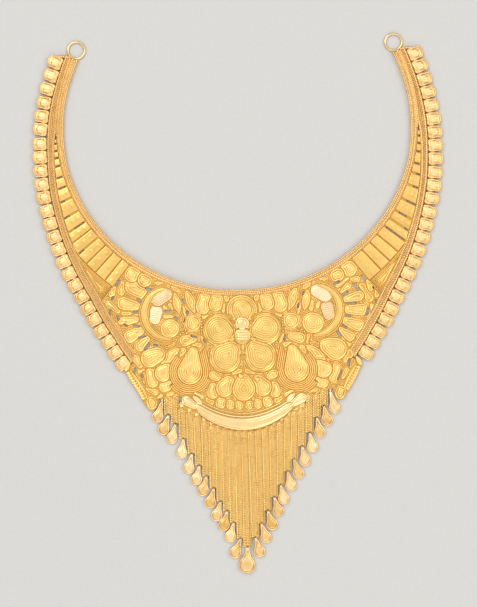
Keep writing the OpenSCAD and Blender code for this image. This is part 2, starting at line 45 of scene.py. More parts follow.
# ------------------------------------------------------------------ tables: angle from straight down, radius
NECK = [[0, 61.8], [15, 62.2], [30, 62.6], [45, 63.1], [60, 63.4], [75, 63.3], [85, 62.6], [95, 62], [105, 61.1], [112.5, 60.6]]
BAND = [[0, 63.6], [20, 64.3], [40, 65.1], [60, 65.5], [75, 65.3], [85, 64.9], [90, 64.7], [100, 63.8], [112.5, 63]]
RAIL_IN = [[24, 93.4], [26, 91.4], [30.6, 87.2], [36, 83.2], [40, 80.5], [45, 78.2], [50, 76.2], [55, 74.4], [60, 72.7], [65, 71.1],
           [70, 69.7], [75, 68.3], [80, 67.1], [85, 66], [88, 65], [90, 64.82], [100, 63.92], [112.5, 63.12]]
ROOT = [[24, 96.7], [26, 94.7], [30.6, 90.5], [36, 86.4], [40, 83.6], [45, 81.1], [50, 79], [55, 76.9], [60, 75], [65, 73.4],
        [70, 72], [75, 70.6], [80, 69.4], [85, 68.5], [90, 67.7], [95, 66.9], [100, 66.2], [105, 65.7], [112.5, 65.3]]
LATH = [[37, 75.3], [52, 75.3], [55, 74], [60, 72.3], [65, 70.7], [70, 69.3], [75, 67.9], [80, 66.8], [88, 65.4]]
LINES_L = [[40.5, 0], [43.9, 0], [47.3, 0], [50.7, 1], [54.1, 0], [57.1, 1], [61.1, 1], [65.7, 1], [69.6, 1], [72.8, 1], [76.3, 1], [78.8, 1], [81, 1], [83.3, 1]]
LINES_R = [[42, 0], [45.4, 0], [48.8, 0], [52.3, 1], [55.2, 1], [58.3, 1], [62.5, 1], [67.3, 1], [71.2, 1], [74.3, 1], [78, 1], [80.6, 1], [82.9, 1]]
END_A, RAIL_LO = 111.8, 24.6


def lookup(a, tab):
    t = np.array(tab, float)
    return np.interp(np.abs(a), t[:, 0], t[:, 1])


def pol(a, r):
    a = np.radians(a)
    return np.stack([r * np.sin(a), -r * np.cos(a)], -1)


# ------------------------------------------------------------------ mesh building
class Shape:
    def __init__(self):
        self.v, self.f, self.t, self.n = [], [], [], 0

    def add(self, v, faces, tone=0.6):
        v = np.asarray(v, float).reshape(-1, 3)
        self.v.append(v)
        faces = [np.asarray(f, np.int64) for f in faces]
        # every closed form faces outwards
        p = v - v.mean(0)
        vol = sum(float(np.einsum("ij,ij->", p[f[:, 0]], np.cross(p[f[:, k]], p[f[:, k + 1]]))) for f in faces for k in range(1, f.shape[1] - 1))
        for f in faces:
            self.f.append((f[:, ::-1] if vol < 0 else f) + self.n)
        self.t.append(np.broadcast_to(np.asarray(tone, float).ravel(), (len(v),)) if np.size(tone) in (1, len(v)) else np.full(len(v), 0.6))
        self.n += len(v)

    def merge(self, other, mirror=False):
        for v, t in zip(other.v, other.t):
            w = v.copy()
            if mirror:
                w[:, 0] *= -1
            self.v.append(w)
            self.t.append(t)
        for f in other.f:
            self.f.append((f[:, ::-1] if mirror else f) + self.n)
        self.n += other.n

    def tris(self):
        return sum(len(f) * (f.shape[1] - 2) for f in self.f)


total_tris = [0]


def piece(name, shape, mat, nodes=(), mirror=False, sharp=55):
    v = np.concatenate(shape.v)
    v = np.stack([-v[:, 0] if mirror else v[:, 0], v[:, 1] + UP, v[:, 2]], 1) / 1000
    fs = [f[:, ::-1] if mirror else f for f in shape.f]
    me = bpy.data.meshes.new(name)
    me.vertices.add(len(v))
    me.vertices.foreach_set("co", v.astype(np.float32).ravel())
    loops = np.concatenate([f.ravel() for f in fs])
    me.loops.add(len(loops))
    me.loops.foreach_set("vertex_index", loops.astype(np.int32))
    tot = np.concatenate([np.full(len(f), f.shape[1]) for f in fs])
    me.polygons.add(len(tot))
    me.polygons.foreach_set("loop_start", np.concatenate([[0], np.cumsum(tot)[:-1]]).astype(np.int32))
    me.polygons.foreach_set("use_smooth", np.ones(len(tot), bool))
    me.update(calc_edges=True)
    me.validate()
    # per-vertex tone: each form's own tone together with painted shade and painted highlights
    at = me.attributes.new("tone", "FLOAT", "POINT")
    at.data.foreach_set("value", np.concatenate(shape.t).astype(np.float32))
    me.set_sharp_from_angle(angle=math.radians(sharp))
    me.materials.append(mat)
    ob = bpy.data.objects.new(name, me)
    bpy.context.scene.collection.objects.link(ob)
    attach(ob, "root")
    if nodes:
        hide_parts(*nodes)
    t = shape.tris()
    total_tris[0] += t
    print(f"piece {name}: {t} triangles")
    return ob


def grid_faces(rows, cols, closed_cols=False, closed_rows=False):
    r = np.arange(rows if closed_rows else rows - 1)[:, None]
    c = np.arange(cols if closed_cols else cols - 1)[None, :]
    r2, c2 = (r + 1) % rows, (c + 1) % cols
    return np.stack([r * cols + c, r * cols + c2, r2 * cols + c2, r2 * cols + c], -1).reshape(-1, 4)


def frames(path, closed):
    if closed:
        t = np.roll(path, -1, 0) - np.roll(path, 1, 0)
    else:
        t = np.gradient(path, axis=0)
    t /= np.maximum(np.linalg.norm(t, axis=1, keepdims=True), 1e-9)
    up = np.array([0, 0, 1.0])
    side = np.cross(t, up)
    n = np.linalg.norm(side, axis=1, keepdims=True)
    side = np.where(n > 1e-6, side / np.maximum(n, 1e-9), [1.0, 0, 0])
    return t, side, np.cross(side, t)


def tube(sh, path, r, closed=False, seg=8, tone=0.75, squash=1.0):
    path = np.asarray(path, float)
    t, side, up = frames(path, closed)
    a = np.arange(seg) / seg * 2 * math.pi
    rr = np.broadcast_to(np.asarray(r, float), (len(path),))[:, None, None]
    ring = path[:, None] + rr * (np.cos(a)[None, :, None] * side[:, None] + squash * np.sin(a)[None, :, None] * up[:, None])
    f = [grid_faces(len(path), seg, True, closed)]
    v = ring.reshape(-1, 3)
    if not closed:
        k = len(v)
        e = float(np.mean(rr)) * 0.6
        v = np.concatenate([v, [path[0] - t[0] * e, path[-1] + t[-1] * e]])
        i = np.arange(seg)
        f.append(np.stack([np.full(seg, k), (i + 1) % seg, i], 1))
        b = (len(path) - 1) * seg
        f.append(np.stack([np.full(seg, k + 1), b + i, b + (i + 1) % seg], 1))
    sh.add(v, f, tone)


def resample(path, step, closed=False):
    path = np.asarray(path, float)
    if closed:
        path = np.concatenate([path, path[:1]])
    s = np.concatenate([[0], np.cumsum(np.linalg.norm(np.diff(path, axis=0), axis=1))])
    n = max(2, int(round(s[-1] / step)))
    q = np.linspace(0, s[-1], n + 1)
    if closed:
        q = q[:-1]
    return np.stack([np.interp(q, s, path[:, k]) for k in range(path.shape[1])], 1), s[-1]


def rope(sh, path, R, pitch=None, strands=2, per=6, seg=5, flat=1.0):
    """Twisted wire: round strands wound about the path."""
    pitch = pitch or 4.2 * R
    p, length = resample(path, pitch / per)
    t, side, up = frames(p, False)
    s = np.arange(len(p)) * length / (len(p) - 1)
    w = R * (0.56 if strands == 2 else 0.5)
    off = R - w
    for k in range(strands):
        a = 2 * math.pi * (s / pitch + k / strands)
        q = p + off * (np.cos(a)[:, None] * side + flat * np.sin(a)[:, None] * up)
        tube(sh, q, w, False, seg, 0.6)


BALL_A = np.arange(8) / 8 * 2 * math.pi


def beads(sh, pts, r, tone=0.7, low=-0.35):
    """Grains: small spheres cut off below, joined in one mesh."""
    pts = np.asarray(pts, float).reshape(-1, 3)
    r = np.broadcast_to(np.asarray(r, float), (len(pts),))
    els = [math.asin(low), math.radians(12), math.radians(45)]
    ring = [np.stack([np.cos(BALL_A + 0.2 * k) * math.cos(e), np.sin(BALL_A + 0.2 * k) * math.cos(e), np.full(8, math.sin(e))], 1) for k, e in enumerate(els)]
    unit = np.concatenate(ring + [np.array([[0, 0, 1.0]])])
    i = np.arange(8)
    j = (i + 1) % 8
    quads = np.concatenate([np.stack([k * 8 + i, k * 8 + j, (k + 1) * 8 + j, (k + 1) * 8 + i], 1) for k in range(2)])
    tri = np.stack([16 + i, 16 + j, np.full(8, 24)], 1)
    v = pts[:, None] + r[:, None, None] * unit[None]
    o = (np.arange(len(pts)) * 25)[:, None, None]
    # painted light: each grain's tone rises from 0 at the foot to 1 at the top, a painted shade at the foot and a
    # painted highlight on top
    tone_with_painted_light = np.tile(np.concatenate([np.full(8, 0.0), np.full(8, 0.4), np.full(8, 0.8), [1.0]]), len(pts)) * tone
    foot = i[None, ::-1]
    sh.add(v.reshape(-1, 3), [(quads[None] + o).reshape(-1, 4), (tri[None] + o).reshape(-1, 3), (foot[None] + o).reshape(-1, 8)], tone_with_painted_light)


def sd_vesica(x, y, a, b, w):
    """Distance to a leaf with two pointed ends, half width w."""
    m, ax = (a + b) / 2, (b - a) / np.linalg.norm(b - a)
    h = np.linalg.norm(b - a) / 2
    R = (h * h + w * w) / (2 * w)
    u = np.abs((x - m[0]) * -ax[1] + (y - m[1]) * ax[0])
    v = (x - m[0]) * ax[0] + (y - m[1]) * ax[1]
    return np.hypot(u + R - w, v) - R


def sd_capsule(x, y, p0, r0, p1, r1):
    """Distance to the outline of two circles joined by their tangents, negative inside."""
    ba = np.array(p1, float) - p0
    l2 = float(ba @ ba)
    if l2 < 1e-9:
        return np.hypot(x - p0[0], y - p0[1]) - max(r0, r1)
    rr = r0 - r1
    a2 = l2 - rr * rr
    if a2 <= 1e-6:
        return np.minimum(np.hypot(x - p0[0], y - p0[1]) - r0, np.hypot(x - p1[0], y - p1[1]) - r1)
    pa0, pa1 = x - p0[0], y - p0[1]
    yy = pa0 * ba[0] + pa1 * ba[1]
    z = yy - l2
    x2 = (pa0 * l2 - ba[0] * yy) ** 2 + (pa1 * l2 - ba[1] * yy) ** 2
    y2, z2 = yy * yy * l2, z * z * l2
    k = np.sign(rr) * rr * rr * x2
    c1 = np.sign(z) * a2 * z2 > k
    c2 = np.sign(yy) * a2 * y2 < k
    return np.where(c1, np.sqrt(x2 + z2) / l2 - r1, np.where(c2, np.sqrt(x2 + y2) / l2 - r0, (np.sqrt(x2 * a2 / l2) + yy * rr) / l2 - r0))


def barrel(u):
    """0 in the grooves, 1 on the ridges, period 1."""
    w = 2 * (u - np.floor(u)) - 1
    return np.sqrt(np.maximum(0, 1 - w * w))


def smooth(a, b, x):
    t = np.clip((x - a) / (b - a), 0, 1)
    return t * t * (3 - 2 * t)


def outline(sdf, c, n, rmax):
    """First crossing of an outline along rays from a point inside it."""
    th = np.arange(n) / n * 2 * math.pi
    dx, dy = np.cos(th), np.sin(th)
    q = np.arange(0.06, rmax, 0.14)
    v = sdf(c[0] + q[:, None] * dx, c[1] + q[:, None] * dy) > 0
    k = np.where(v.any(0), v.argmax(0), len(q) - 1)
    lo, hi = np.where(k > 0, q[np.maximum(k - 1, 0)], 0.0), q[k]
    for _ in range(12):
        mid = (lo + hi) / 2
        inside = sdf(c[0] + mid * dx, c[1] + mid * dy) < 0
        lo, hi = np.where(inside, mid, lo), np.where(inside, hi, mid)
    return dx, dy, lo


def relief(sh, sdf, c, zf, z0, n=64, step=0.2, edge=0.22, rmax=14, rows_at=0.0):
    """Closed raised form on a star-shaped outline. zf gives height and tone from x, y and distance inside the edge."""
    dx, dy, r = outline(sdf, c, n, rmax)
    rm = float(r.max())
    m = max(3, int(math.ceil((rm - edge) / step)))
    if rows_at > 0:   # rows that run parallel to the outline
        s = np.linspace(0, 1, 41)[:, None]
        D = -sdf(c[0] + s * r * dx, c[1] + s * r * dy)
        D = np.minimum.accumulate(D, 0) - 1e-3 * s
        lv = [rows_at * k for k in range(int(D[0].min() / rows_at - 0.25), 0, -1) if rows_at * k > edge * 1.15] + [edge * q for q in (1.0, 0.6, 0.28, 0.08)]
        rows = [np.array([np.interp(q, D[::-1, k], s[::-1, 0]) for k in range(n)]) * r for q in lv] + [r]
        for k in range(1, len(rows)):
            rows[k] = np.maximum(rows[k], rows[k - 1] + 0.004)
    else:
        rows = [np.maximum(r - edge, 0.3 * r) * k / m for k in range(1, m + 1)] + [np.maximum(r - edge * q, 0.5 * r) for q in (0.6, 0.28, 0.08)] + [r]
    R = np.stack(rows)
    X, Y = c[0] + R * dx, c[1] + R * dy
    d = np.maximum(-sdf(X, Y), 0)
    Z, T = zf(X, Y, d)
    e = np.clip(1 - d / edge, 0, 1)
    Z = Z - edge * (1 - np.sqrt(np.maximum(0, 1 - e * e))) * 0.9
    # painted shade: the tone darkens by up to 30% where the edge rounds down
    T = T * (1 - 0.3 * e)
    zc, tc = zf(np.array([[c[0]]], float), np.array([[c[1]]], float), np.array([[float(-sdf(np.array(c[0], float), np.array(c[1], float)))]]))
    k = len(rows)
    v = np.stack([X, Y, Z], -1).reshape(-1, 3)
    low = np.stack([c[0] + r * dx, c[1] + r * dy, np.full(n, z0)], 1)
    v = np.concatenate([v, low, [[c[0], c[1], float(zc.ravel()[0])], [c[0], c[1], z0]]])
    top, bot = len(v) - 2, len(v) - 1
    i = np.arange(n)
    j = (i + 1) % n
    f = [grid_faces(k, n, True)[:, ::-1], np.stack([np.full(n, top), i, j], 1),
         np.stack([(k - 1) * n + i, k * n + i, k * n + j, (k - 1) * n + j], 1), np.stack([np.full(n, bot), k * n + j, k * n + i], 1)]
    # the foot of the outline gets tone 0.1, so the side wall darkens downwards: painted shade where the form meets the
    # plate
    t = np.concatenate([T.ravel(), np.full(n, 0.1), [float(tc.ravel()[0])], [0.1]])
    sh.add(v, f, t)


free = []   # outlines already on the plate: distance, centre, reach; a later form is trimmed to leave a groove beside them


def near(c, reach):
    return [o for o, oc, orr in free if math.hypot(oc[0] - c[0], oc[1] - c[1]) < reach + orr + 0.3]


def trimmed(sdf, c, reach, gap):
    obs = near(c, reach)
    if not obs:
        return sdf

    def f(x, y):
        d = sdf(x, y)
        for o in obs:
            q = gap - o(x, y)
            h = np.maximum(0.5 - np.abs(d - q), 0)
            d = np.maximum(d, q) + h * h * 0.5
        return d
    return f


def leaf(sh, p0, r0, p1, r1, h=0.35, rise=0.45, rib="rings", per=0.64, amp=0.09, rim=0.16, fan_c=None, n=64, step=0.2, z0=TOP - 0.05, wire=0.0, keep=True, tone=0.62,
         gap=0.06, at=None, point=0.0):
    """A raised leaf or petal: two circles joined, or a form pointed at both ends, domed, with a rim and fine ribs, trimmed by what is already there."""
    p0, p1 = np.array(p0, float), np.array(p1, float)
    if point > 0:
        base = lambda x, y: sd_vesica(x, y, p0, p1, point)
        mid, reach = (p0 + p1) / 2, np.linalg.norm(p1 - p0) / 2
        r0 = r1 = point
        at = mid if at is None else at
    else:
        base = lambda x, y: sd_capsule(x, y, p0, r0, p1, r1)
        mid, reach = (p0 + p1) / 2, np.linalg.norm(p1 - p0) / 2 + max(r0, r1)
    sdf = trimmed(base, mid, reach, gap)
    c = np.array(at, float) if at is not None else (p0 + (p1 - p0) * 0.35 if r0 >= r1 else p0 + (p1 - p0) * 0.65)
    ax = p1 - p0
    L = max(np.linalg.norm(ax), 1e-6)
    ax = ax / L if L > 1e-3 else np.array([0, 1.0])
    if float(sdf(np.array(c[0]), np.array(c[1]))) > -0.15:   # the middle is taken: look for the roomiest place along the axis
        q = p0 + (p1 - p0) * np.linspace(0, 1, 21)[:, None]
        v = sdf(q[:, 0], q[:, 1])
        if v.min() > -0.15:
            return
        c = q[int(v.argmin())]
    dmax = max(r0, r1)
    fc = np.array(fan_c if fan_c is not None else p1, float)

    def zf(x, y, d):
        t = np.clip(d / dmax, 0, 1)
        s = (x - p0[0]) * ax[0] + (y - p0[1]) * ax[1]
        w = (x - p0[0]) * -ax[1] + (y - p0[1]) * ax[0]
        z = TOP + 0.5 * h + rise * np.sqrt(np.maximum(0, t * (2 - t)))
        if rib == "rings":
            b = barrel(d / per)
        elif rib == "across":
            b = barrel(s / per + 0.5)
        elif rib == "curved":
            b = barrel((s + 0.12 * w * w) / per + 0.5)
        elif rib == "along":
            b = barrel(w / per + 0.5)
        elif rib == "vein":
            b = barrel((s + 0.9 * np.abs(w)) / per) * smooth(0, 0.25, np.abs(w))
        elif rib == "fan":
            g = np.arctan2(y - fc[1], x - fc[0])
            b = barrel(g * (180 / math.pi) / per)
        else:
            b = np.full_like(x, 0.75)
        mask = smooth(0.3, 0.6, d) if rim > 0 else smooth(0.1, 0.4, d)
        z = z + 1.5 * amp * (b - 0.7) * mask
        if rim > 0:
            q = np.clip((d - 0.24) / 0.24, -1, 1)
            z = z + rim * np.sqrt(1 - q * q) - 0.35 * rim * smooth(0.42, 0.66, d) * (1 - smooth(0.7, 1.2, d))
        # painted light in the tone: darker in the rib grooves and paler on the crests, a painted highlight on the rim
        # and painted shade in the groove inside it
        tone_with_painted_light = tone + 0.75 * (b - 0.72) * mask + 0.3 * (d < 0.46) * (rim > 0) - 0.3 * np.exp(-((d - 0.58) / 0.14) ** 2) * (rim > 0)
        return z, np.clip(tone_with_painted_light, 0, 1)

    relief(sh, sdf, c, zf, z0, n, step, rmax=2 * reach + 0.5, rows_at=per / 4 if rib == "rings" else 0.0)
    if keep:
        free.append((base, mid, reach))
    if wire > 0:
        dx, dy, r = outline(sdf, c, 72, 2 * reach + 1)
        r = r + wire * 0.7
        tube(sh, np.stack([c[0] + r * dx, c[1] + r * dy, np.full(72, TOP + wire * 0.55)], 1), wire, True, 6, 0.7)


def strip(sh, tab0, tab1, a0, a1, z0, z1, d0=0.0, d1=0.0, step=1.0, mirrored_ends=False, tone=0.3, crown=0.0, cols=5):
    """Closed strip between two radius tables."""
    n = max(3, int(abs(a1 - a0) / step))
    a = np.linspace(a0, a1, n + 1)
    u = np.linspace(0, 1, cols)
    ri, ro = lookup(a, tab0) + d0, lookup(a, tab1) + d1
    R = ri[:, None] + (ro - ri)[:, None] * u[None]
    A = np.broadcast_to(a[:, None], R.shape).copy()
    # the end that meets a ring follows the ring's outline
    for sgn in (-1, 1):
        lim = ring_end(R)
        m = (sgn * A > lim) & (sgn * A > 100)
        A[m] = sgn * lim[m]
    P = pol(A, R)
    top = np.concatenate([P, (z1 + crown * np.sin(math.pi * u))[None, :, None] * np.ones((n + 1, 1, 1))], -1)
    bot = np.concatenate([P, np.full((n + 1, cols, 1), z0)], -1)
    N = (n + 1) * cols
    g = grid_faces(n + 1, cols)
    i = np.arange(n)
    k = np.arange(cols - 1)
    walls = [np.stack([i * cols, (i + 1) * cols, N + (i + 1) * cols, N + i * cols], 1),
             np.stack([i * cols + cols - 1, N + i * cols + cols - 1, N + (i + 1) * cols + cols - 1, (i + 1) * cols + cols - 1], 1),
             np.stack([k, N + k, N + k + 1, k + 1], 1),
             np.stack([n * cols + k, n * cols + k + 1, N + n * cols + k + 1, N + n * cols + k], 1)]
    f = [g, g[:, ::-1] + N] + walls
    if a1 < a0:
        f = [q[:, ::-1] for q in f]
    sh.add(np.concatenate([top.reshape(-1, 3), bot.reshape(-1, 3)]), f, tone)


RING_C = pol(np.array(114.3), np.array(62.6))


def ring_end(R, room=3.5):
    """Largest angle at a radius that stays clear of the end ring."""
    q = (R * R + 62.6 ** 2 - room ** 2) / (2 * R * 62.6)
    return np.where(q < 1, 114.3 - np.degrees(np.arccos(np.clip(q, -1, 1))), 200.0)


def arc_path(tab, off, a0, a1, z, step=0.8, wave=0.0):
    a = np.linspace(a0, a1, int(abs(a1 - a0) / step) + 2)
    r = lookup(a, tab) + off
    lim = ring_end(r, 3.6)
    a = np.clip(a, -lim, lim)
    p = pol(a, r)
    return np.concatenate([p, np.full((len(a), 1), z)], 1)


# ------------------------------------------------------------------ materials
def gold(name, dark, light, rough=(0.2, 0.34), grain=0.35, grain_scale=2600.0, mottling=420.0, bump=0.00006, brushed=False):
    m = bpy.data.materials.new(name)
    m.use_nodes = True
    nt = m.node_tree
    nt.nodes.clear()
    new = nt.nodes.new
    link = nt.links.new
    out = new("ShaderNodeOutputMaterial")
    b = new("ShaderNodeBsdfPrincipled")
    link(b.outputs[0], out.inputs[0])
    b.inputs["Metallic"].default_value = 1.0
    tc = new("ShaderNodeTexCoord")
    tone = new("ShaderNodeAttribute")
    tone.attribute_name = "tone"
    n1 = new("ShaderNodeTexNoise")
    n1.inputs["Scale"].default_value = mottling
    n1.inputs["Detail"].default_value = 3
    link(tc.outputs["Object"], n1.inputs["Vector"])
    n2 = new("ShaderNodeTexNoise")
    n2.inputs["Scale"].default_value = grain_scale
    n2.inputs["Detail"].default_value = 2
    if brushed:
        mp = new("ShaderNodeMapping")
        mp.inputs["Scale"].default_value = (1, 0.12, 1)
        link(tc.outputs["Object"], mp.inputs["Vector"])
        link(mp.outputs[0], n2.inputs["Vector"])
    else:
        link(tc.outputs["Object"], n2.inputs["Vector"])
    # colour: the tone attribute, which holds each form's own tone together with painted shade in grooves and painted
    # highlights on rims and tops, broken up by the mottling
    ad = new("ShaderNodeMath")
    ad.operation = "MULTIPLY_ADD"
    link(n1.outputs["Fac"], ad.inputs[0])
    ad.inputs[1].default_value = 0.55
    link(tone.outputs["Fac"], ad.inputs[2])
    sb = new("ShaderNodeMath")
    sb.operation = "SUBTRACT"
    sb.use_clamp = True
    link(ad.outputs[0], sb.inputs[0])
    sb.inputs[1].default_value = 0.27
    cr = new("ShaderNodeValToRGB")
    cr.color_ramp.elements[0].position = 0.05
    cr.color_ramp.elements[0].color = (*dark, 1)
    cr.color_ramp.elements[1].position = 0.8
    cr.color_ramp.elements[1].color = (*light, 1)
    link(sb.outputs[0], cr.inputs[0])
    link(cr.outputs[0], b.inputs["Base Color"])
    rr = new("ShaderNodeMapRange")
    rr.inputs["From Min"].default_value = 0.3
    rr.inputs["From Max"].default_value = 0.7
    rr.inputs["To Min"].default_value = rough[0]
    rr.inputs["To Max"].default_value = rough[1]
    link(n1.outputs["Fac"], rr.inputs["Value"])
    link(rr.outputs[0], b.inputs["Roughness"])
    bp = new("ShaderNodeBump")
    bp.inputs["Strength"].default_value = grain
    bp.inputs["Distance"].default_value = bump
    link(n2.outputs["Fac"], bp.inputs["Height"])
    link(bp.outputs[0], b.inputs["Normal"])
    return m


M_POLISH = gold("polished_gold", (0.87, 0.57, 0.23), (0.99, 0.76, 0.39), (0.2, 0.3), 0.15, 900.0, 300.0)
M_GRAIN = gold("granulated_gold", (0.62, 0.36, 0.11), (0.96, 0.65, 0.28), (0.26, 0.38), 0.3, 2400.0, 380.0)
M_PALE = gold("pale_matte_gold", (0.70, 0.43, 0.18), (0.95, 0.75, 0.46), (0.36, 0.48), 0.55, 4200.0, 420.0)
M_FLOWER = gold("flower_gold", (0.58, 0.31, 0.045), (0.91, 0.62, 0.215), (0.3, 0.42), 0.4, 2600.0, 330.0)
M_CHASED = gold("chased_gold", (0.66, 0.36, 0.055), (0.97, 0.67, 0.245), (0.28, 0.4), 0.4, 2600.0, 330.0)
M_PLATE = gold("pierced_plate_gold", (0.72, 0.42, 0.09), (0.92, 0.60, 0.20), (0.3, 0.44), 0.6, 1500.0, 500.0, 0.00012)
M_SCALLOP = gold("scallop_gold", (0.66, 0.38, 0.10), (0.95, 0.69, 0.34), (0.32, 0.46), 0.35, 2200.0, 300.0)
M_CHAIN = gold("woven_chain_gold", (0.75, 0.41, 0.075), (1.0, 0.737, 0.305), (0.24, 0.36), 0.2, 2600.0, 260.0)
M_RIM = gold("rimmed_gold", (0.72, 0.43, 0.12), (0.98, 0.77, 0.47), (0.26, 0.4), 0.5, 2200.0, 320.0)
M_LATH = gold("lath_gold", (0.66, 0.37, 0.08), (0.88, 0.57, 0.18), (0.3, 0.42), 0.25, 1800.0, 260.0)
M_RING = gold("pale_polished_gold", (0.88, 0.66, 0.34), (0.98, 0.80, 0.50), (0.16, 0.26), 0.15, 900.0, 300.0)

# ------------------------------------------------------------------ collar: neck rail
sh = Shape()
strip(sh, NECK, BAND, -END_A, END_A, 0.0, 1.15, 0.1, 0.03, 1.0, tone=0.5)
tube(sh, arc_path(NECK, 0.26, -END_A, END_A, 1.36, 0.7), 0.27, seg=8, tone=1.0)
a = np.arange(-END_A + 0.5, END_A - 0.4, 0.62)
a = a[np.abs(a) < ring_end(lookup(a, NECK) + 0.26, 3.8)]
p = pol(a, lookup(a, NECK) + 0.28)
beads(sh, np.concatenate([p, np.full((len(p), 1), 1.42)], 1), 0.31, 1.0)
rope(sh, arc_path(NECK, 0.9, -END_A, END_A, 1.33, 0.6), 0.36)
rope(sh, arc_path(BAND, -0.3, -END_A, END_A, 1.25, 0.6), 0.32)
a = []
s = -END_A + 0.6
while s < END_A - 0.6:
    a.append(s)
    s += 0.58
a = np.array(a)
ri, ro = lookup(a, NECK) + 1.38, lookup(a, BAND) - 0.6
keep = (ro - ri > 0.22) & (np.abs(a) < ring_end((ri + ro) / 2, 3.9))
p = pol(a[keep], ((ri + ro) / 2)[keep])
beads(sh, np.concatenate([p, np.full((len(p), 1), 1.24)], 1), np.clip((ro - ri)[keep] * 0.5, 0.2, 0.34), 0.8)
tube(sh, arc_path(BAND, 0.07, -85.5, 85.5, 1.0, 0.8), 0.2, seg=6, tone=0.55)
# above the laths the two rails are one band: a twisted wire lies on the joint
for sgn in (-1, 1):
    a = np.linspace(85.5, 111.6, 70)
    p = pol(sgn * a, lookup(a, BAND) + 0.06)
    ok = a < ring_end(lookup(a, BAND), 3.7)
    rope(sh, np.concatenate([p[ok], np.full((ok.sum(), 1), 1.42)], 1), 0.34)
# solder at the ring
for sgn in (-1, 1):
    for aa, rr_, q in ((111.2, 61.1, 0.62), (111.0, 62.6, 0.7), (111.3, 64.0, 0.55)):
        p = pol(np.array(sgn * aa), np.array(rr_))
        beads(sh, [[p[0], p[1], 0.75]], q, 0.9)
piece("neck_rail_wires", sh, M_GRAIN, ["neck_rail"])


# ------------------------------------------------------------------ collar: outer rails
def outer_rail(seed):
    g = np.random.default_rng(seed)
    sh = Shape()
    strip(sh, RAIL_IN, ROOT, RAIL_LO, END_A, 0.0, 1.12, -0.02, -0.05, 1.0, tone=0.5)
    rope(sh, arc_path(ROOT, -0.36, RAIL_LO + 0.2, END_A, 1.36, 0.6), 0.4)
    rope(sh, arc_path(RAIL_IN, 0.36, RAIL_LO + 0.2, END_A, 1.3, 0.6), 0.36)
    tube(sh, arc_path(RAIL_IN, -0.06, RAIL_LO + 0.2, 88.0, 1.0, 0.8), 0.2, seg=6, tone=0.55)
    # two staggered rows of grains, and a plain wire between them where the rail is wide
    a = np.arange(RAIL_LO + 0.6, END_A - 1.0, 0.46)
    w = lookup(a, ROOT) - lookup(a, RAIL_IN)
    for k, f in enumerate((0.33, 0.66)):
        aa = a + 0.23 * k
        r = lookup(aa, RAIL_IN) + 0.55 + (w - 1.1) * f
        ok = aa < ring_end(r, 4.0)
        p = pol(aa[ok], r[ok])
        z = 1.2 + g.normal(0, 0.02, len(p))
        beads(sh, np.concatenate([p, z[:, None]], 1), np.clip(w[ok] * 0.12, 0.22, 0.36) + g.normal(0, 0.012, len(p)), 0.75)
    a = np.linspace(RAIL_LO + 0.4, 60, 60)
    w = lookup(a, ROOT) - lookup(a, RAIL_IN)
    p = pol(a, lookup(a, RAIL_IN) + w * 0.5)
    tube(sh, np.concatenate([p, np.full((len(p), 1), 1.16)], 1), 0.2, seg=6, tone=0.6)
    return sh


for side, mir in (("right", False), ("left", True)):
    piece("outer_rail_wires_" + side, outer_rail(11 + mir), M_GRAIN, ["outer_rail_" + side], mir)


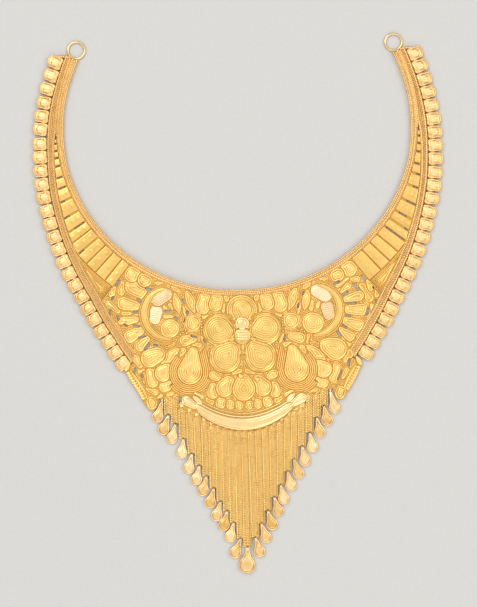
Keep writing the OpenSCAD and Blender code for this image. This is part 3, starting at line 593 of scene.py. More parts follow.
# ------------------------------------------------------------------ collar: laths
def quad_pillow(sh, corners, z0, z1, crown, tilt=0.0, nu=14, nv=8, edge=0.2, bosses=(), tone=0.7):
    """Rounded plate on four corners, given round the outline, with a crown and small raised bosses."""
    c = np.array(corners, float)
    def levels(n, length):
        e = min(edge, length * 0.3) / length
        inner = np.linspace(e, 1 - e, n)
        return np.concatenate([[0, e * 0.25, e * 0.6], inner, [1 - e * 0.6, 1 - e * 0.25, 1]])
    lu = np.linalg.norm(c[1] - c[0])
    lv = np.linalg.norm(c[3] - c[0])
    u, v = levels(nu, lu), levels(nv, lv)
    U, V = np.meshgrid(u, v, indexing="ij")
    P = (c[0] * ((1 - U) * (1 - V))[..., None] + c[1] * (U * (1 - V))[..., None] + c[2] * (U * V)[..., None] + c[3] * ((1 - U) * V)[..., None])
    du = np.minimum(U, 1 - U) * lu
    dv = np.minimum(V, 1 - V) * lv
    e1, e2 = np.clip(1 - du / edge, 0, 1), np.clip(1 - dv / edge, 0, 1)
    e = np.clip(np.hypot(e1, e2), 0, 1)
    Z = z1 + crown * np.sqrt(np.maximum(0, 1 - (2 * V - 1) ** 2 * 0.9)) + tilt * (V - 0.5) - edge * (1 - np.sqrt(1 - e * e))
    # painted shade: the tone darkens towards the rounded edges
    T = tone * (1 - 0.45 * e)
    for bu, bv, br, bh in bosses:
        q = c[0] * ((1 - bu) * (1 - bv)) + c[1] * (bu * (1 - bv)) + c[2] * (bu * bv) + c[3] * ((1 - bu) * bv)
        dd = np.hypot(P[..., 0] - q[0], P[..., 1] - q[1])
        Z = Z + bh * np.sqrt(np.maximum(0, 1 - (dd / br) ** 2)) - 0.4 * bh * np.exp(-((dd - br * 1.15) / 0.15) ** 2)
        # painted shade in the groove round each boss and a painted highlight on its top
        T = T - 0.25 * np.exp(-((dd - br * 1.1) / 0.18) ** 2) + 0.3 * (dd < br * 0.85)
    n, m = len(u), len(v)
    top = np.concatenate([P, Z[..., None]], -1).reshape(-1, 3)
    bot = np.concatenate([P, np.full(Z.shape + (1,), z0)], -1).reshape(-1, 3)
    g = grid_faces(n, m)
    N = n * m
    i, k = np.arange(n - 1), np.arange(m - 1)
    f = [g, g[:, ::-1] + N,
         np.stack([i * m, (i + 1) * m, N + (i + 1) * m, N + i * m], 1),
         np.stack([i * m + m - 1, N + i * m + m - 1, N + (i + 1) * m + m - 1, (i + 1) * m + m - 1], 1),
         np.stack([k, N + k, N + k + 1, k + 1], 1),
         np.stack([(n - 1) * m + k, (n - 1) * m + k + 1, N + (n - 1) * m + k + 1, N + (n - 1) * m + k], 1)]
    a = c[1] - c[0]
    b = c[3] - c[0]
    if a[0] * b[1] - a[1] * b[0] < 0:
        f = [q[:, ::-1] for q in f]
    # the underside and the foot of the walls get tone 0.1: painted shade
    sh.add(np.concatenate([top, bot]), f, np.concatenate([T.ravel(), np.full(N, 0.1)]))


def laths(lines, seed):
    g = np.random.default_rng(seed)
    sh = Shape()
    edges = [[37.55, 0]] + list(lines) + [[84.8, 1]]
    for (a0, k0), (a1, k1) in zip(edges[:-1], edges[1:]):
        b0, b1 = a0 + (0.26 if k0 else 0.12), a1 - (0.26 if k1 else 0.12)
        ri = [float(lookup(x, BAND)) + 0.3 for x in (b0, b1)]
        ro = [min(float(lookup(x, LATH)), float(lookup(x, RAIL_IN)) - 0.22) + 0.03 for x in (b0, b1)]
        c = [pol(np.array(b0), np.array(ri[0])), pol(np.array(b0), np.array(ro[0])), pol(np.array(b1), np.array(ro[1])), pol(np.array(b1), np.array(ri[1]))]
        ln = ro[0] - ri[0]
        bosses = [(q, 0.5, 0.7, 0.11) for q in (0.2, 0.52, 0.84)] if ln > 4 and b1 - b0 > 1.8 else []
        quad_pillow(sh, c, 0.78, 1.47, 0.14 + 0.05 * g.random(), g.normal(0, 0.09), max(6, int(ln * 2.2)), 9, 0.22, bosses, 0.66 + 0.12 * g.random())
    # two wires and a field of grains between the laths' outer ends and the rail
    for off, r in ((0.42, 0.24), (0.95, 0.2)):
        a = np.linspace(38.4, 53.4, 40)
        rr = np.minimum(lookup(a, LATH) + off, lookup(a, RAIL_IN) - 0.15)
        p = pol(a, rr)
        tube(sh, np.concatenate([p, np.full((len(p), 1), 1.2)], 1), r, seg=6, tone=0.75)
    r = np.linspace(75.8, float(lookup(37.75, RAIL_IN)) - 0.2, 9)
    p = pol(np.full(9, 37.75), r)
    rope(sh, np.concatenate([p, np.full((9, 1), 1.18)], 1), 0.3)
    mids = []
    for aa in (40.2, 45.6):
        lo_, hi_ = float(lookup(aa, LATH)) + 1.25, float(lookup(aa, RAIL_IN)) - 0.45
        mids.append((pol(np.array(aa), np.array((lo_ + hi_) / 2)), (hi_ - lo_) / 2))
    (m0, w0), (m1, w1) = mids
    w0, w1 = min(w0, 1.5), max(0.3, min(w1, 0.8))
    leaf(sh, m0, w0, m1, w1, 0.3, 0.45, "rings", 0.72, 0.1, 0.2, n=72, z0=1.0, tone=0.9, keep=False, gap=-5)
    pts = []
    for r in np.arange(76.75, 81.5, 0.56):
        for a in np.arange(38.5, 50.5, 0.46):
            aa = a + (0.23 if int(round(r / 0.56)) % 2 else 0)
            if r < float(lookup(aa, RAIL_IN)) - 0.35:
                q = pol(np.array(aa), np.array(r))
                if float(sd_capsule(q[0], q[1], m0, w0, m1, w1)) < 0.25:
                    continue
                pts.append([q[0], q[1], 1.24])
    beads(sh, pts, 0.29, 0.7)
    return sh


for side, mir, lines in (("right", False, LINES_R), ("left", True, LINES_L)):
    piece("laths_" + side, laths(lines, 21 + mir), M_LATH, (), mir)

# ------------------------------------------------------------------ collar: scallops
ROW_LO, ROW_HI, ROW_K, N_SC = 25.4, 110.4, 170, 25


def root_pt(a):
    return pol(np.array(a, float), lookup(a, ROOT))


def out_dir(a):
    d = root_pt(a + 1.5) - root_pt(a - 1.5)
    d = np.array([d[1], -d[0]])
    return d / np.linalg.norm(d)


row_ang = [ROW_HI + (ROW_LO - ROW_HI) * i / ROW_K for i in range(ROW_K + 7)]
row_pts = [root_pt(a) + 1.9 * out_dir(a) for a in row_ang]
row_len = np.concatenate([[0], np.cumsum([np.linalg.norm(row_pts[i + 1] - row_pts[i]) for i in range(ROW_K + 6)])])
ROW_END = row_len[ROW_K]


def row_s(t):
    return ROW_END * (t + 0.035 * t * (1 - t))


def scallop(sh, a, w, g):
    o, d = root_pt(a), out_dir(a)
    e = np.array([-d[1], d[0]])
    turn = math.radians(g.normal(0, 1.5))
    ct, st = math.cos(turn), math.sin(turn)
    d, e = d * ct + e * st, e * ct - d * st
    half = w / 2 - 0.06
    r1, x1, r2, x2 = half + 0.1, 1.6, half - 0.12, 3.2 + g.normal(0, 0.05)
    k1, k2, k3, k4 = g.normal(0, 0.06), g.normal(0, 0.06), g.random(), g.normal(0, 0.3)

    def local(x, y):
        px, py = x - o[0], y - o[1]
        return px * d[0] + py * d[1], px * e[0] + py * e[1]

    def sdf(x, y):
        u, v = local(x, y)
        g1 = np.hypot(u - x1, v) - r1
        du = np.where(u > x2, (u - x2) * 1.02, u - x2)
        ang = np.arctan2(v, u - x2)
        g2 = (np.abs(du) ** 3.4 + np.abs(v) ** 3.4) ** (1 / 3.4) - r2 - 0.06 * np.abs(np.cos(ang * 2.5)) * (np.abs(ang) < 1.3)
        h = np.clip(0.5 + 0.5 * (g2 - g1) / 0.3, 0, 1)
        both = g2 * (1 - h) + g1 * h - 0.3 * h * (1 - h)
        return np.maximum(both, 0.08 - u)

    def zf(x, y, dist):
        u, v = local(x, y)
        q1 = np.hypot((u - 2.2) * 0.85, v * 1.0)
        dome = (0.3 + k1) * np.sqrt(np.maximum(0, 1 - (q1 / 1.7) ** 2))
        far = smooth(1.7, 2.6, u)
        body = 0.36 * np.sqrt(np.clip(dist / 1.6, 0, 1) * (2 - np.clip(dist / 1.6, 0, 1)))
        rim = 0.26 * np.sqrt(np.maximum(0, 1 - np.clip((dist - 0.26) / 0.26, -1, 1) ** 2)) * (0.3 + 0.7 * far)
        ang = np.arctan2(v, u + 1.2)
        b = barrel(ang * 11.5 / math.pi + 0.5)
        on = smooth(0.6, 0.8, dist) * smooth(1.2, 1.7, u) * smooth(4.4, 3.9, u)
        arc = np.exp(-((u - 3.95 + 0.16 * v * v) / 0.12) ** 2) * smooth(0.55, 0.8, dist)
        neck = np.exp(-((u - 1.15) / 0.13) ** 2)
        z = 1.1 + body + dome + rim + 0.09 * (b - 0.7) * on - 0.1 * arc - 0.12 * neck - 0.1 * np.exp(-((dist - 0.66) / 0.11) ** 2) * far
        # painted light in the tone: a painted highlight on the rim and the dome, painted shade in the rib grooves, the
        # arc, the neck and the groove inside the rim; k3 and k4 vary it at random
        t = 0.5 + 0.35 * (dist < 0.5) * far + 0.12 * k3 + 0.45 * (b - 0.7) * on + 0.2 * smooth(1.4, 0.4, q1) - 0.35 * arc - 0.4 * neck - 0.45 * np.exp(-((dist - 0.66) / 0.11) ** 2) * far + 0.08 * k4
        return z, np.clip(t, 0, 1)

    c = o + d * 2.6
    relief(sh, sdf, c, zf, 0.0, 64, 0.2, 0.22, 6)


def scallops(seed, lag):
    g = np.random.default_rng(seed)
    sh = Shape()
    for i in range(N_SC):
        t = (i + 0.5) / N_SC
        a = float(np.interp(row_s(t) + lag * t, row_len, row_ang))
        w = row_s((i + 1) / N_SC) - row_s(i / N_SC) + lag / N_SC
        scallop(sh, a, min(w, 4.85), g)
    # low bridge with small grains between the last scallop and the ring
    a = np.array([111.1, 110.9, 110.6, 110.2])
    p = pol(a, np.array([64.9, 66.0, 67.1, 68.1]))
    tube(sh, np.concatenate([p, np.full((4, 1), 0.75)], 1), 0.5, seg=8, tone=0.7)
    beads(sh, np.concatenate([p, np.full((4, 1), 1.15)], 1), [0.42, 0.5, 0.46, 0.4], 0.95)
    return sh


for side, mir in (("right", False), ("left", True)):
    piece("scallop_row_" + side, scallops(31 + mir, 1.9 * mir), M_SCALLOP, ["scallops_" + side], mir)

# ------------------------------------------------------------------ bib: outline and openings
EDGE_R = [[41.1, -88.3], [42.4, -89.8], [41.2, -92.4], [40, -94.6], [39.2, -95.8], [39, -97], [38, -97.9], [37.1, -98.6], [37, -99.7], [36.4, -101], [35.7, -101.9],
          [34.9, -102.4], [33.9, -102.2], [32.9, -101.4], [32.35, -99.9], [32.2, -98.2], [27.8, -98.2], [27.6, -99.6], [22.4, -99.6], [22.2, -102.6],
          [18.4, -105], [12, -109], [6, -111.2], [0, -111.9]]
EDGE_L = [[41.1, -88.3], [42.4, -89.8], [41.1, -92.4], [39.9, -94.4], [39.2, -95.8], [38.6, -97.1], [37.8, -97.3], [37.2, -98.8], [36.5, -100.2], [36, -101],
          [36, -102.1], [35.1, -102.7], [34.7, -103.8], [33.8, -104.5], [32.7, -104.3], [31.7, -103.7], [30.9, -102.4], [30.5, -100.3], [28.7, -100.3],
          [28.6, -99.6], [22.4, -99.6], [22.2, -102.6], [18.4, -105], [12, -109], [6, -111.2], [0, -111.9]]
CUTS_L = [[-33, -60.9, 3, 1.1, -25], [-44.2, -58.2, 2.8, 1, 55], [-46.3, -63.6, 1.6, 0.9, 60], [-36.5, -64.9, 2.6, 1, -40],
          [-38.2, -68.8, 2, 1.2, 10], [-47.3, -68.6, 2.2, 0.8, 80], [-44.4, -70.7, 2.2, 1, -75], [-47, -71.3, 1.8, 0.8, -65], [-41.9, -73.4, 1.8, 0.8, -35],
          [-37.9, -73.9, 2.6, 0.9, -15], [-36, -77.9, 3, 0.8, 10], [-34.3, -81.4, 3.4, 1, 50], [-31.2, -80.9, 1.9, 0.8, -15], [-39.2, -90.2, 3.2, 0.9, 65],
          [-36.4, -91.9, 1.7, 1, -70], [-26.6, -68.8, 2.8, 1.1, -5], [-23.6, -71.5, 1.9, 1.1, -50], [-20.9, -65.5, 2.3, 0.8, -65],
          [-19.6, -69.5, 1.6, 1.1, 70], [-20.5, -72.4, 1.9, 0.7, 65], [-17.6, -78.2, 2.3, 0.8, -15], [-13.7, -79.9, 2, 0.9, -50]]
CUTS_R = [[34.3, -60.2, 2.8, 1.1, 25], [44, -58.6, 2.8, 1, -55], [41, -61.8, 3.4, 1, -60], [37.3, -64.1, 2.6, 1.1, 35], [39.4, -67.6, 4, 0.9, 0],
          [38.2, -72.1, 2.2, 0.9, -10], [36.8, -76, 2.2, 1, -35], [34.7, -78.5, 2.8, 1, -60], [45.1, -70.8, 3, 1.1, 75],
          [47.8, -70.5, 2.1, 0.7, 65], [48.2, -67.1, 1.6, 0.8, -75], [47.6, -62.2, 1.2, 0.9, 0], [38, -88.8, 3, 0.9, 80], [34.6, -93.3, 4, 0.8, 65],
          [20.4, -68.1, 1.8, 0.8, 75], [22.2, -63.6, 1.8, 0.6, 60], [15.2, -79.3, 2.2, 0.8, 80]]


def cut_sdf(c, sgn):
    h = (c[2] - c[3]) / 2
    t = math.radians(c[4])
    q = np.array([math.cos(t), math.sin(t)]) * h
    p0, p1 = np.array([c[0], c[1]]) - q, np.array([c[0], c[1]]) + q
    if sgn < 0:
        p0, p1 = p0 * [-1, 1], p1 * [-1, 1]
    return (lambda x, y: sd_capsule(x, y, p0, c[3] / 2, p1, c[3] / 2)), (p0 + p1) / 2, c[2] / 2


def poly_sdf(poly):
    P = np.array(poly, float)
    Q = np.roll(P, -1, 0)

    def f(x, y):
        shp = np.shape(x)
        X, Y = np.ravel(x)[:, None], np.ravel(y)[:, None]
        ex, ey = (Q - P)[:, 0][None], (Q - P)[:, 1][None]
        wx, wy = X - P[:, 0][None], Y - P[:, 1][None]
        t = np.clip((wx * ex + wy * ey) / np.maximum(ex * ex + ey * ey, 1e-9), 0, 1)
        d = np.sqrt(((wx - t * ex) ** 2 + (wy - t * ey) ** 2).min(1))
        cond = (P[:, 1][None] > Y) != (Q[:, 1][None] > Y)
        xi = P[:, 0][None] + (Y - P[:, 1][None]) * ex / np.where(np.abs(ey) < 1e-9, 1e-9, ey)
        inside = (cond & (X < xi)).sum(1) % 2 == 1
        return np.where(inside, -d, d).reshape(shp)
    return f


def half_poly(edge):
    a = np.linspace(0, 37.7, 16)
    p = [list(q) for q in pol(a, lookup(a, BAND) + 0.1)]
    a = np.linspace(37.7, 25, 10)
    p += [list(q) for q in pol(a, lookup(a, RAIL_IN) - 0.1)]
    return p + [[40.3, -87.9]] + edge


# ------------------------------------------------------------------ bib: centre flower, boss, arch
FC = np.array([0, -78.4])
PETALS = [[0, -68.9, 4.1], [8.5, -75.9, 4.95], [-8.5, -75.9, 4.95], [6.3, -85.9, 4.95], [-6.3, -85.9, 4.95]]
AC = np.array([0, -69.2])
HALO = [[0, -69.6, 4.4], [8.5, -76.0, 5.75], [-8.5, -76.0, 5.75], [6.4, -86.0, 5.75], [-6.4, -86.0, 5.75]]
sh = Shape()


def halo(x, y):
    d = np.hypot(x - FC[0], y - FC[1]) - 6.5
    for u, v, r in HALO:
        d = np.minimum(d, np.hypot(x - u, y - v) - r)
    return d


def halo_z(x, y, d):
    q = np.clip((d - 0.26) / 0.26, -1, 1)
    # painted highlight on the rim and painted shade in the groove inside it
    return TOP + 0.28 + 0.3 * np.sqrt(1 - q * q) + 0 * x, np.clip(0.5 + 0.35 * (d < 0.5) - 0.3 * np.exp(-((d - 0.62) / 0.14) ** 2), 0, 1)


relief(sh, halo, FC, halo_z, TOP - 0.05, 140, 0.5, rmax=16)
for x, y, r in PETALS:
    q = FC + (np.array([x, y]) - FC) * 0.66
    leaf(sh, (x, y), r + 0.15, q, r * 0.66, 0.5, 0.5, "rings", 0.78, 0.08, 0.18, n=90, gap=0.08, tone=0.62)
# short ribs between the petals
for k in range(5):
    t = math.radians(54 + 72 * k)
    q = FC + 4.6 * np.array([math.cos(t), math.sin(t)])
    leaf(sh, q, 0.75, FC + 2.0 * np.array([math.cos(t), math.sin(t)]), 0.5, 1.3, 0.4, "none", rim=0, n=24, step=0.3, keep=False, tone=0.6, gap=-5)


def centre_dome(x, y, d):
    q = np.hypot(x - FC[0], y - FC[1])
    t = np.clip(q / 3.1, 0, 1)
    g = np.arctan2(y - FC[1], x - FC[0])
    z = TOP + 1.2 + 0.6 * np.sqrt(1 - t * t * 0.98) + 0.05 * barrel(g * 10 / math.pi) * smooth(0.5, 1.5, q)
    # painted shade: the tone darkens in the grooves between the ribs
    return z, np.full_like(x, 0.62) - 0.2 * (1 - barrel(g * 10 / math.pi)) * smooth(0.5, 1.5, q)


relief(sh, lambda x, y: np.hypot(x - FC[0], y - FC[1]) - 3.1, FC, centre_dome, TOP - 0.05, 72, 0.2)
piece("centre_flower_petals", sh, M_FLOWER, ["centre_flower"])

sh = Shape()
BC = np.array([0, -74.1])
t = np.radians(np.linspace(-42, 222, 40))
tube(sh, np.stack([BC[0] + 2.1 * np.cos(t), BC[1] + 2.1 * np.sin(t), np.full(40, 3.0)], 1), 0.46, seg=10, tone=1.0)
relief(sh, lambda x, y: np.hypot(x - BC[0], y - BC[1]) - 2.2, BC,
       lambda x, y, d: (2.5 + 0.75 * np.sqrt(np.maximum(0, 1 - (np.hypot(x - BC[0], y - BC[1]) / 2.25) ** 2)), np.full_like(x, 0.45)), 1.2, 48, 0.25)
# ribbed barrel under the ring, with a painted highlight on each rib and painted shade in the grooves
def barrel_z(x, y, d):
    b = barrel((y + 76.1) / 0.95)
    return 2.35 + 0.42 * b + 0.2 * np.sqrt(np.maximum(0, 1 - (x / 2.1) ** 2)), 0.25 + 0.75 * b
relief(sh, lambda x, y: np.maximum(np.abs(x) - 1.9, np.abs(y + 78.0) - 1.9), (0, -78.0), barrel_z, 1.2, 96, 0.12, 0.12)
piece("boss_ring", sh, M_POLISH, ["flower_boss"])

sh = Shape()
for R_, rw, zz in ((5.2, 0.34, 1.75), (4.45, 0.26, 1.7)):
    t = np.radians(np.linspace(-14, 194, 44))
    tube(sh, np.stack([AC[0] + R_ * np.cos(t), AC[1] + R_ * np.sin(t), np.full(44, zz)], 1), rw, seg=8, tone=0.8)
t = np.radians(np.arange(-12, 193, 7.6))
beads(sh, np.stack([AC[0] + 4.84 * np.cos(t), AC[1] + 4.84 * np.sin(t), np.full(len(t), 1.75)], 1), 0.27, 0.85)
strip_pts = np.radians(np.linspace(-14, 194, 40))
ring_v = []
for R_, z_ in ((4.2, 0.85), (4.2, 1.65), (5.5, 1.65), (5.5, 0.85)):
    ring_v.append(np.stack([AC[0] + R_ * np.cos(strip_pts), AC[1] + R_ * np.sin(strip_pts), np.full(40, z_)], 1))
gf = []
i = np.arange(39)
for k in range(4):
    k2 = (k + 1) % 4
    gf.append(np.stack([k * 40 + i, k * 40 + i + 1, k2 * 40 + i + 1, k2 * 40 + i], 1))
gf.append(np.array([[0, 40, 80, 120], [159, 119, 79, 39]]))
sh.add(np.concatenate(ring_v), gf, 0.45)
piece("arch_wires", sh, M_CHASED, ["arch"])
free.append((halo, FC, 15.0))
free.append(((lambda x, y: np.hypot(x - AC[0], y - AC[1]) - 5.55), AC, 5.6))


# ------------------------------------------------------------------ bib: crescent, shell and small leaves
def low_y(x):
    return -112.6 + 0.0232 * x * x


def high_y(x):
    return -107.6 + 0.0205 * x * x


def bar_end(x):
    """How wide the bar still is at x: full to 14.2 mm from the middle, then rounded off to its tip."""
    return np.sqrt(np.maximum(0.003, 1 - np.clip((np.abs(x) - 14.2) / 3.6, 0, 1) ** 2.2))


sh = Shape()
n, m = 90, 26
x = 17.8 * np.sin(1.445 * np.linspace(-1, 1, n)) / math.sin(1.445)
lo, hi = low_y(x), high_y(x) - 0.1
half = (hi - lo) / 2 * bar_end(x)
lo, hi = (lo + hi) / 2 - half, (lo + hi) / 2 + half
v = np.linspace(0, 1, m)
e = np.abs(2 * v - 1)
X = np.broadcast_to(x[:, None], (n, m)) + 0.0
Y = lo[:, None] + (hi - lo)[:, None] * v[None]
prof = np.sqrt(np.maximum(0, 1 - e ** 3.2))
taper = np.sqrt(np.maximum(0, 1 - np.abs(x / 18.2) ** 8))
Z = TOP + 0.5 + (0.95 * prof[None] + 0.3 * np.exp(-((v[None] - 0.13) / 0.07) ** 2) - 0.16 * np.exp(-((v[None] - 0.26) / 0.03) ** 2) - 0.12 * np.exp(-((v[None] - 0.68) / 0.02) ** 2)) * taper[:, None]
# painted light in the tone: painted highlight bands near the lower and upper edges, painted shade in the two grooves
# and towards the edges where the bar rounds down
T = 0.5 + 0.4 * np.exp(-((v[None] - 0.13) / 0.07) ** 2) + 0.2 * np.exp(-((v[None] - 0.85) / 0.06) ** 2) - 0.4 * np.exp(-((v[None] - 0.26) / 0.03) ** 2) - 0.35 * np.exp(-((v[None] - 0.68) / 0.02) ** 2) - 0.3 * (1 - prof[None]) + 0 * X
top = np.stack([X, Y, Z], -1).reshape(-1, 3)
bot = np.stack([X, Y, np.full_like(Z, TOP - 0.05)], -1).reshape(-1, 3)
g, N = grid_faces(n, m), n * m
i, k = np.arange(n - 1), np.arange(m - 1)
f = [g, g[:, ::-1] + N,
     np.stack([i * m, (i + 1) * m, N + (i + 1) * m, N + i * m], 1),
     np.stack([i * m + m - 1, N + i * m + m - 1, N + (i + 1) * m + m - 1, (i + 1) * m + m - 1], 1),
     np.stack([k, N + k, N + k + 1, k + 1], 1),
     np.stack([(n - 1) * m + k, (n - 1) * m + k + 1, N + (n - 1) * m + k + 1, N + (n - 1) * m + k], 1)]
# the underside and the foot of the walls get tone 0.1: painted shade
sh.add(np.concatenate([top, bot]), [q[:, ::-1] for q in f], np.concatenate([np.clip(T, 0, 1).ravel(), np.full(N, 0.1)]))
xs = np.linspace(-17.0, 17.0, 80)
mid = (low_y(xs) + high_y(xs)) / 2
tube(sh, np.stack([xs, mid + (high_y(xs) - mid) * bar_end(xs) + 0.2, TOP + 0.75 - 0.3 * smooth(15.0, 17.0, np.abs(xs))], 1), 0.32, seg=8, tone=1.0)
xs = np.linspace(-13.2, 13.2, 64)
tube(sh, np.stack([xs, high_y(xs) + 1.35, np.full(64, TOP + 0.3)], 1), 0.2, seg=8, tone=0.9)
free.append(((lambda x, y: np.maximum(np.maximum(y - high_y(x) - 1.62, low_y(x) - y) * 0.85, np.abs(x) - 17.6)), np.array([0, -107.0]), 19.0))
for m_ in (-1, 1):
    leaf(sh, (14.9 * m_, -102.6), 1, (18.6 * m_, -99.3), 1, 0.9, 0.45, "along", 0.62, 0.06, 0.14, n=48, tone=0.65, gap=-5, point=1.05)
    leaf(sh, (17.7 * m_, -103.2), 1.25, (20.7 * m_, -101.2), 1.9, 0.8, 0.5, "rings", 0.7, 0.07, 0.16, n=60, tone=0.7, gap=-5)
piece("crescent_band", sh, M_POLISH, ["crescent_bar"])

sh = Shape()
# two small raised domes painted pale (tone 0.95): painted highlights standing for glints
for m in (-1, 1):
    leaf(sh, (-1.2 if m < 0 else 4.9, -92.7 if m < 0 else -94.2), 0.95, (-0.6 if m < 0 else 4.5, -92.9 if m < 0 else -93.9), 0.8, 1.3, 0.7, "none", rim=0.0, n=36, tone=0.95, gap=-5, keep=False)
leaf(sh, (0, -97.6), 4.2, (0, -95.0), 3.0, 0.45, 0.55, "rings", 0.84, 0.07, 0.18, n=96, tone=0.5)
for m in (-1, 1):
    leaf(sh, (6.9 * m, -97.1), 3.2, (5.4 * m, -94.8), 2.3, 0.4, 0.5, "rings", 0.78, 0.08, 0.16, n=72, tone=0.6)
    leaf(sh, (11.2 * m, -98.7), 2.2, (10.9 * m, -96.6), 1.7, 0.4, 0.45, "rings", 0.74, 0.08, 0.14, n=60)
    leaf(sh, (10.9 * m, -92.3), 1.7, (9.2 * m, -93.4), 1.2, 0.35, 0.45, "rings", 0.74, 0.08, 0.14, n=48)
piece("shell_ribs", sh, M_CHASED, ["shell_lobes"])

sh = Shape()
for m in (-1, 1):
    leaf(sh, (1.7 * m, -103.6), 1.5, (1.9 * m, -102.9), 1.4, 0.35, 0.45, "rings", 0.66, 0.08, 0.14, n=48, tone=0.75)
    leaf(sh, (5.0 * m, -103.3), 1.6, (4.9 * m, -102.5), 1.5, 0.35, 0.45, "rings", 0.66, 0.08, 0.14, n=48, tone=0.85)
    leaf(sh, (8.5 * m, -102.6), 2.0, (8.3 * m, -102.0), 1.9, 0.4, 0.5, "rings", 0.7, 0.08, 0.16, n=56, tone=0.85)
    leaf(sh, (12.0 * m, -101.9), 1.4, (12.8 * m, -101.0), 1.2, 0.35, 0.4, "rings", 0.66, 0.08, 0.14, n=44)
    leaf(sh, (15.4 * m, -100.1), 1.1, (17.3 * m, -99.0), 0.9, 0.35, 0.4, "rings", 0.66, 0.08, 0.14, n=44)
piece("small_leaf_ribs", sh, M_CHASED, ["leaf_row"])
central = list(free)

# ------------------------------------------------------------------ bib: raised work of one half, drawn on the right
SC_ = np.array([26, -69.7])


def top_leaves():
    sh = Shape()
    leaf(sh, (17.7, -73.4), 2.95, (17.7, -73.3), 2.95, 0.5, 0.55, "rings", 0.74, 0.09, 0.18, wire=0.2, n=72)
    leaf(sh, (9.4, -67.0), 2.5, (8.7, -64.7), 2.2, 0.35, 0.45, "rings", 0.74, 0.08, 0.14, n=64)
    leaf(sh, (13.9, -67.6), 2.75, (13.2, -64.2), 2.1, 0.35, 0.5, "rings", 0.74, 0.08, 0.14, n=72, tone=0.7)
    leaf(sh, (16.7, -70.2), 1, (19.9, -60.9), 1, 0.35, 0.5, "rings", 0.74, 0.08, 0.12, n=72, point=1.75)
    leaf(sh, (20.0, -72.0), 1, (21.2, -66.4), 1, 0.35, 0.4, "none", rim=0.12, n=48, point=0.7, tone=0.75)
    leaf(sh, (4.3, -66.6), 1, (6.6, -62.9), 1, 0.3, 0.35, "rings", 0.74, 0.08, 0.1, n=48, point=1.1)
    leaf(sh, (2.2, -63.8), 0.8, (0.0, -63.6), 0.8, 0.3, 0.3, "none", rim=0.1, n=40)
    leaf(sh, (21.8, -62.2), 1, (25.4, -59.6), 1, 0.3, 0.35, "rings", 0.74, 0.08, 0.1, n=48, point=1.1)
    beads(sh, [[14.45 + 0.05 * k, -72.9 - 1.02 * k, TOP + 0.35] for k in range(5)], 0.46, 1.0)
    free.append(((lambda x, y: sd_capsule(x, y, np.array([14.45, -72.9]), 0.5, np.array([14.65, -77.0]), 0.5)), np.array([14.5, -75.0]), 2.6))
    beads(sh, [[20.4, -75.7, TOP + 0.3], [21.3, -76.6, TOP + 0.3], [22.3, -77.4, TOP + 0.3], [20.0, -76.9, TOP + 0.25]], 0.52, 1.0)
    free.append(((lambda x, y: sd_capsule(x, y, np.array([20.2, -76.0]), 0.6, np.array([22.3, -77.4]), 0.5)), np.array([21.2, -76.8]), 2.0))
    return sh


def side_flower(sgn):
    sh = Shape()
    leaf(sh, (27.2, -62.9), 2.4, (30.0, -64.3), 2.7, 0.45, 0.5, "along", 0.76, 0.08, 0.16, tone=0.95 if sgn > 0 else 0.4, n=80)
    leaf(sh, (31.2, -71.6), 2.0, (30.7, -68.9), 2.4, 0.45, 0.5, "across", 0.76, 0.1, 0.16, tone=0.35 if sgn > 0 else 0.95, n=80)
    return sh


def side_dome(sgn):
    sh = Shape()
    if sgn > 0:
        leaf(sh, (25.3, -74.3), 3.8, (25.8, -74.3), 3.7, 0.4, 0.6, "rings", 0.82, 0.08, 0.2, tone=0.6, n=80)
    else:
        leaf(sh, (26.0, -75.2), 3.4, (25.8, -75.0), 3.4, 0.4, 0.6, "rings", 0.82, 0.08, 0.2, tone=0.6, n=80)
    leaf(sh, (22.4, -70.2), 1, (24.0, -62.0), 1, 0.4, 0.5, "rings", 0.78, 0.07, 0.14, n=64, tone=0.65, point=1.55)
    leaf(sh, (26.6, -69.7), 1, (28.3, -66.2), 1, 0.4, 0.4, "none", rim=0.12, n=44, tone=0.75, point=0.95)
    return sh


